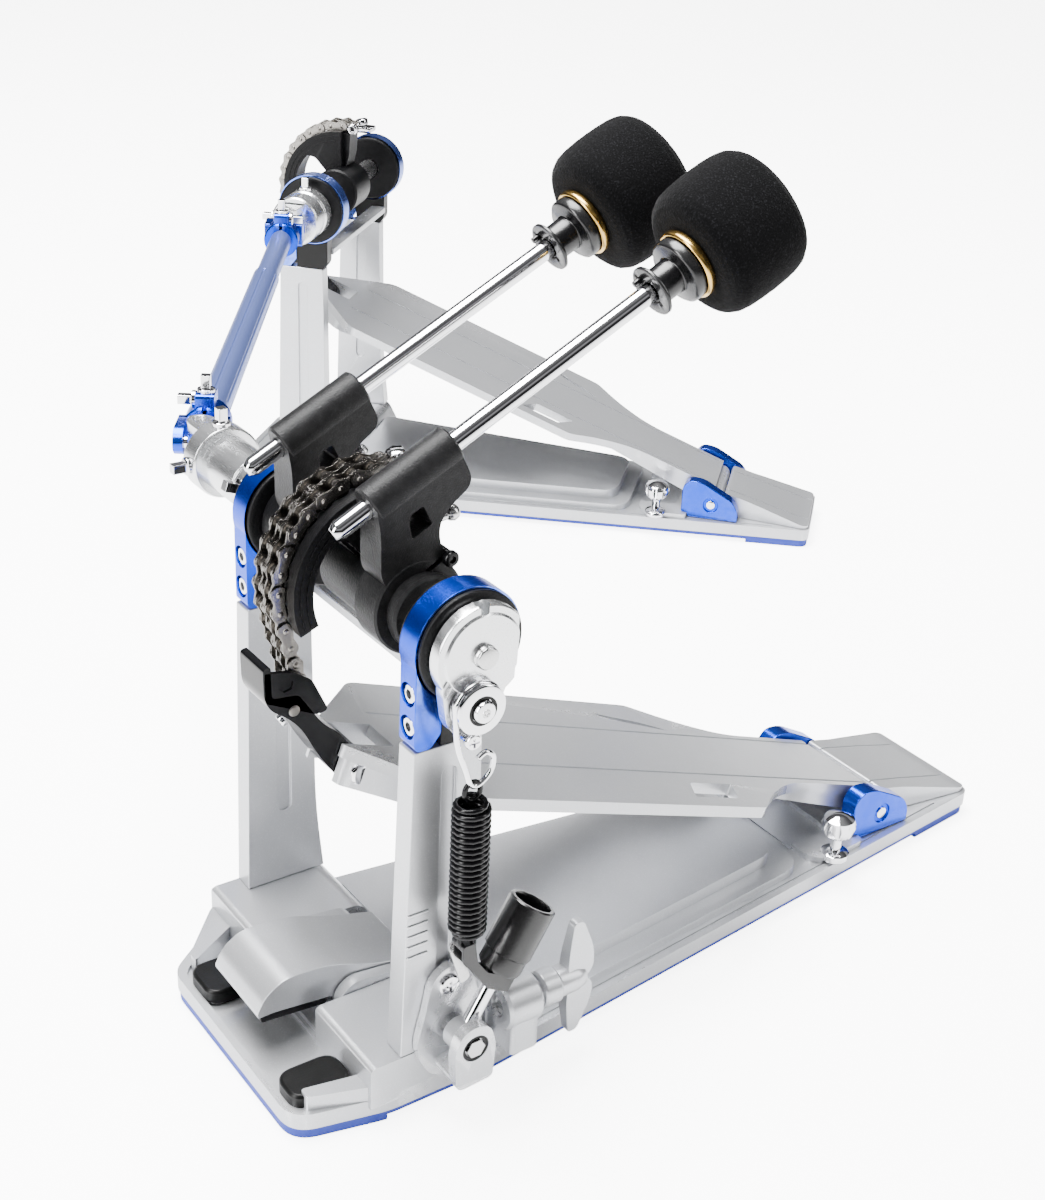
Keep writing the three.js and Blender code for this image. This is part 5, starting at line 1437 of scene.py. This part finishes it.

# %% [markdown]
# The spring is a close coil of black wire with a loop at each end. The pedal's stroke stretches
# it.


# %% Coil spring and hook
def make_spring():
    coils, low, high, mean = 24, 86.5, 141.5, 6
    points = []
    for k in range(coils * 14 + 1):
        turn = 2 * math.pi * k / 14
        share = k / (coils * 14)
        radius = mean - 1.8 * max(0, (share - 0.955) / 0.045) - 1.8 * max(0, (0.03 - share) / 0.03)
        points.append((-78 + radius * math.cos(turn), 4.5 + radius * math.sin(turn), low + (high - low) * share))
    top = [(-78, 4.5 + 3.2 * math.sin(a), 145.4 - 3.6 * math.cos(a)) for a in [k * math.pi / 5 for k in range(10)]]
    foot = [(-78, 4.5 + 3 * math.sin(a), 83.4 + 3.2 * math.cos(a)) for a in [k * math.pi / 5 for k in range(10)]]
    parts = [tube_wire(points, 1.1, 10, 1), tube_wire(top + [top[0]], 1.0, 10, 2),
             tube_wire(foot + [foot[0]], 1.0, 10, 2)]
    return painted(merge(*parts), SMOOTH_BLACK)


print('spring coils ready')

# %% [markdown]
# The hook is one bent wire: over the roller, down behind it and round into a small curl that holds
# the spring's upper loop.


# %% Hook
def make_hook():
    x, y, z = ROLLER
    loop = [(x, y - 8.8 * math.cos(math.radians(a)), z + 8.8 * math.sin(math.radians(a)))
            for a in range(-25, 191, 18)]
    curl = [(7.5, 154), (5.4, 148.2), (2, 147.4), (-2.4, 151), (-3.4, 156.4), (-0.4, 159.4), (3, 157.8)]
    tail = [(x, y + 7.6, z - 13)] + [(x, *point) for point in curl]
    return painted(tube_wire(loop + tail, 1.1, 14, 6), CHROME)


print('hook ready')

# %% [markdown]
# The spring can't ride on one body, because its ends move apart. It stays where it is made, on no body.


# %% Placing spring and hook
spring = make_spring()
spring.name = "coil_spring"
spring.data.shade_smooth()
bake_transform(spring)
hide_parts("main_spring")
finished(make_hook(), "spring hook wire", "spring_hook", ["spring_hook"], MAIN, 0)
print("spring of 24 coils")

# %% [markdown]
# The bracket below is a teardrop flange on the base's side, with a cheek that carries the pivot
# of the tension rod. The knob is a faceted nut, open at its top.

# %% Bracket, tension rod and knob
TILT_ROD = math.radians(30.5)
UP_ROD = Vector((0, -math.sin(TILT_ROD), math.cos(TILT_ROD)))
ACROSS_ROD = Vector((0, math.cos(TILT_ROD), math.sin(TILT_ROD)))
ANCHOR = Vector((-76, 3.2, 37.5))
PIVOT = (0, ANCHOR.y, ANCHOR.z)


def rod_place(s, n, radius=0):
    point = ANCHOR + UP_ROD * s + ACROSS_ROD * n
    return (point.y, point.z, radius)


def make_anchor():
    flange = slab([(15, 50, 9), (13, 62, 8), (4, 67, 8), (-4, 60, 7), (-9, 44, 8), (-10, 20, 6), (10, 14, 9),
                   (20, 30, 12)], -69.8, -66.2, "x", 9)
    floor = slab([(-5, 21, 3), (10, 20, 3), (12, 25, 3), (4, 27.4, 1), (-5, 26, 1)], -85, -67)
    y, z = ANCHOR.y, ANCHOR.z
    cheek = slab([(y - 8, z - 16, 2), (y - 3, z - 12.5, 3), (y + 3, z - 12.5, 3), (y + 8, z - 15.5, 2),
                  (y + 9, z, 6), (y + 6, z + 8, 5), (y, z + 10, 5), (y - 6, z + 8, 5), (y - 9, z, 6)],
                 -85, -80.4, "x", 9)
    cut(flange, floor, cheek, joined=True)
    cut(flange, turned([(0, -86), (5.6, -86), (5.6, -83.4), (0, -83.4)], PIVOT, (1, 0, 0), 48))
    cut(flange, turned([(0, 0), (4.6, 0), (4.6, 6), (0, 6)], (-71, 6, 58), (-1, 0, 0), 32))
    six = [(y + 3.9 * math.cos(math.pi * k / 3), z + 3.9 * math.sin(math.pi * k / 3)) for k in range(6)]
    parts = [painted(flange, SILVER), painted(slab(six, -85.4, -67), STEEL),
             painted(turned([(4.2, -84.6), (5.4, -84.6), (5.4, -83), (4.2, -83), (4.2, -84.6)], PIVOT,
                            (1, 0, 0), 48), RUBBER_AND_PAINTED_SHADE)]
    parts.append(screw((-69.6, 6, 58), (-1, 0, 0), 4.2, 1.8, "cross"))
    return merge(*parts)


print('bracket ready')

# %% [markdown]
# The rod swings on the bracket's pin. Its clip reaches up to the spring, and the knob is turned along
# the rod to set the tension.


# %% Rod, clip and knob
def make_tension_rod():
    eye = turned([(4.2, -79.9), (5.9, -79.9), (6.4, -79.4), (6.4, -72.6), (5.9, -72.1),
                  (4.2, -72.1), (4.2, -79.9)],
                 PIVOT, (1, 0, 0), 48)
    shank = pin(3, 5.4, 47, ANCHOR, UP_ROD, 0.4, 32)
    clip = slab([rod_place(22, -6, 1), rod_place(22, 5, 1), rod_place(24.5, 9.6, 1), (3.4, 70, 2), (7, 74, 2),
                 (7, 81.6, 1), (2, 81.6, 1), (0.6, 72.5, 2), rod_place(28.2, 8.6, 1), rod_place(28.2, -6, 1)],
                -80.4, -72.6, "x", 6)
    cut(clip, block(-79.2, -74, -4, 12, 66, 79))
    plate = slab([(-1, 61, 2), (3, 59, 2), (9, 78, 2), (6, 81, 2)], -73.6, -72.7, "x", 6)
    return merge(painted(eye, SILVER), painted(shank, CHROME), painted(clip, PLASTIC), painted(plate, STEEL))


def make_knob():
    nut = turned([(3.3, 28.6), (7.6, 28.6), (8.5, 30), (8.5, 35.6), (9.3, 36.4), (9.3, 56.4), (8.7, 57), (7.6, 57),
                  (7, 56), (7, 44), (3.3, 43), (3.3, 28.6)], ANCHOR, UP_ROD, 12)
    groove = turned([(8.6, 35), (12, 35), (12, 36), (8.6, 36), (8.6, 35)], ANCHOR, UP_ROD, 48)
    return painted(cut(nut, groove), PLASTIC)


print('knob ready')

# %% [markdown]
# Three bodies meet here: the fixed bracket, the rod that swings and the knob that turns.


# %% Placing the lower spring parts
finished(make_anchor(), "spring bracket", "frame", ["spring_anchor"], MAIN, 0.6)
finished(make_tension_rod(), "tension rod and clip", "tension_link", ["tension_rod"], MAIN, 0.3)
finished(make_knob(), "tension knob nut", "tension_knob", ["tension_knob"], MAIN, 0.4)
print("lower spring parts placed")

# %% [markdown]
# ## Hoop clamp
# A curved jaw presses the drum's hoop onto the base. The wing bolt at the side works it. Its
# two wings are thick at the root and thin to a rounded tip.


# %% Jaw, rubber lining, pads, wing bolt
def make_jaw():
    cover = slab([(57.5, 29, 4), (54, 36, 8), (46, 41.2, 14), (27, 40.6, 14), (8, 33, 12), (-14, 27, 2),
                  (-14, 23.6, 1), (4, 23.4, 3), (9, 15.5, 4), (16, 13.8, 6), (22, 17, 4), (25, 24.6, 2),
                  (50, 27.2, 1), (57, 27, 1)], -18, 18, "x", 10)
    lining = slab([(27, 24.4), (50, 26.8), (56, 26.6, 1), (55.4, 24, 1), (50, 23.6), (28, 21.6, 1)], -17.4, 17.4)
    return merge(painted(cover, SILVER), painted(pin(3, -23.4, 23.4, (0, 16, 20), (1, 0, 0)), CHROME),
                 painted(lining, RUBBER_AND_PAINTED_SHADE))


def make_pad(x, y, hx, hy):
    pad = slab([(x + hx, y + hy, 7), (x + hx, y - hy, 7), (x - hx, y - hy, 7), (x - hx, y + hy, 7)],
               10.7, 17.5, "z", 10)
    return painted(pad, RUBBER_AND_PAINTED_SHADE)


print('jaw and pads ready')

# %% [markdown]
# The wings are thick at the root and thin towards the tip, so the slab's points are drawn together
# along their height.


# %% Wing bolt
def make_wing():
    shaft = pin(4, -46, -17, (-71, 0, 39), (0, 1, 0), 0.4, 28)
    threads = [turned([(3.9, y), (4.25, y + 0.4), (3.9, y + 0.8), (3.9, y)], (-71, 0, 39), (0, 1, 0), 24)
               for y in (-33, -31.9)]
    collar = turned([(0, -42), (6.4, -42), (7.4, -41), (7.4, -34.4), (6.6, -33.5), (0, -33.5)],
                    (-71, 0, 39), (0, 1, 0), 48)
    hub = turned([(0, -56), (3, -56), (5, -54), (6.2, -50), (6.2, -42), (0, -42)], (-71, 0, 39), (0, 1, 0), 48)
    parts = [painted(shaft, STEEL), painted(collar, SILVER), painted(hub, SILVER)]
    parts += [painted(t, STEEL) for t in threads]
    for side in (-1, 1):
        wing = slab([(-46.5, -2, 2), (-46, 9, 6), (-48.6, 26.4, 3), (-53, 26.2, 5), (-58, 13, 9), (-58.5, 4, 4),
                     (-53, -2, 2)], -3.4, 3.4, "x", 9)
        for vertex in wing.data.vertices:
            reach = max(0.0, vertex.co.z / MM - 4) / 24
            vertex.co.x *= 1 - 0.45 * reach
        if side < 0:
            moved(wing, Matrix.Diagonal((1, 1, -1, 1)))
            wing.data.flip_normals()
        parts.append(painted(shifted(wing, -71, 0, 39), SILVER))
    return merge(*parts)


print('wing bolt ready')

# %% [markdown]
# The jaw turns on its pin and the wing bolt on its own axis. The pads stay on the base.


# %% Placing the clamp
finished(make_jaw(), "clamp jaw cover", "clamp_jaw", ["clamp_jaw"], MAIN, 0.8)
finished(make_pad(-46.5, 49, 8.6, 12.4), "near pad", "frame", ["near_rubber_pad"], MAIN, 1.2)
finished(make_pad(25, 52, 10.5, 9.5), "far pad", "frame", ["far_rubber_pad"], MAIN, 1.2)
finished(make_wing(), "wing bolt wings", "wing_bolt", ["wing_bolt"], MAIN, 0.7)
print("clamp ready")

# %% [markdown]
# ## Floor, light and camera
# The object stands on a pale seamless floor. One large soft light from above and two strips at
# the sides give the metal long clean reflections. The camera stands above the near side and
# looks along the shaft, with a moderate lens.


# %% Floor
def make_floor():
    mesh = bpy.data.meshes.new("floor")
    mesh.from_pydata([(-6, -6, 0), (6, -6, 0), (6, 6, 0), (-6, 6, 0)], [], [(0, 1, 2, 3)])
    floor = bpy.data.objects.new("floor", mesh)
    bpy.context.scene.collection.objects.link(floor)
    pale = bpy.data.materials.new("Pale floor")
    pale.use_nodes = True
    shader = pale.node_tree.nodes["Principled BSDF"]
    shader.inputs["Base Color"].default_value = (0.9, 0.9, 0.9, 1)
    shader.inputs["Roughness"].default_value = 0.7
    shader.inputs["Emission Color"].default_value = (1, 1, 1, 1)
    seen = pale.node_tree.nodes.new("ShaderNodeLightPath").outputs["Is Camera Ray"]
    glow = calc(pale.node_tree, "MULTIPLY", seen, 6.5)
    pale.node_tree.links.new(glow, shader.inputs["Emission Strength"])
    mesh.materials.append(pale)


print('floor maker ready')

# %% [markdown]
# The world is a soft gradient with one bright band. Chrome needs dark and bright zones to reflect,
# and an even white world would make it look like grey paint.


# %% World
def make_world():
    world = bpy.data.worlds.new("studio")
    bpy.context.scene.world = world
    world.use_nodes = True
    tree = world.node_tree
    back = tree.nodes["Background"]
    back.inputs["Strength"].default_value = 0.34
    where = tree.nodes.new("ShaderNodeTexCoord")
    split = tree.nodes.new("ShaderNodeSeparateXYZ")
    ramp = tree.nodes.new("ShaderNodeValToRGB")
    tree.links.new(where.outputs["Generated"], split.inputs[0])
    tree.links.new(split.outputs["Z"], ramp.inputs[0])
    tree.links.new(ramp.outputs["Color"], back.inputs["Color"])
    points = ramp.color_ramp.elements
    points[0].position, points[0].color = 0.0, (0.1, 0.1, 0.11, 1)
    points[1].position, points[1].color = 1.0, (1, 1, 1, 1)
    for place, shade in ((0.12, 0.06), (0.3, 0.1), (0.42, 0.9), (0.56, 0.95), (0.62, 0.2), (0.78, 0.3)):
        points.new(place).color = (shade, shade, shade * 1.03, 1)


print('world ready')

# %% [markdown]
# One large soft light from above and two strips at the sides give the metal long clean highlights.


# %% Lights
def add_light(name, at, aim, width, height, power):
    data = bpy.data.lights.new(name, "AREA")
    data.shape = "RECTANGLE"
    data.size, data.size_y, data.energy = width, height, power
    lamp = bpy.data.objects.new(name, data)
    lamp.location = at
    lamp.rotation_euler = (Vector(aim) - Vector(at)).to_track_quat("-Z", "Y").to_euler()
    bpy.context.scene.collection.objects.link(lamp)


make_floor()
make_world()
add_light("overhead softbox", (0.5, 0.1, 2.1), (0.25, -0.15, 0), 1.5, 1.2, 230)
add_light("left strip", (-0.1, 1.7, 1.0), (0.1, 0, 0.1), 0.5, 1.5, 55)
add_light("right strip", (-1.2, -1.3, 1.1), (0, -0.1, 0.1), 0.4, 1.5, 20)
print(len(bpy.data.lights), "lights")

# %% [markdown]
# The camera stands above the near side and looks along the shaft with a moderate lens. It is
# rolled a little, and shifted so that the pedals fill the frame.

# %% Camera
camera_data = bpy.data.cameras.new("camera")
camera = bpy.data.objects.new("camera", camera_data)
bpy.context.scene.collection.objects.link(camera)
LOOK = Vector((0.706, -0.5392, -0.4592)).normalized()
ROLL = math.radians(3.66)
camera.location = (-0.4909, 0.2879, 0.4684)
camera.rotation_euler = (LOOK.to_track_quat("-Z", "Y").to_matrix() @ Matrix.Rotation(ROLL, 3, "Z")).to_euler()
camera_data.sensor_width = 36
camera_data.lens = 52.47
camera_data.shift_x = -0.0296
camera_data.shift_y = 0.0226
camera_data.clip_start = 0.01
bpy.context.scene.camera = camera
print("camera looks", [round(v, 3) for v in LOOK])
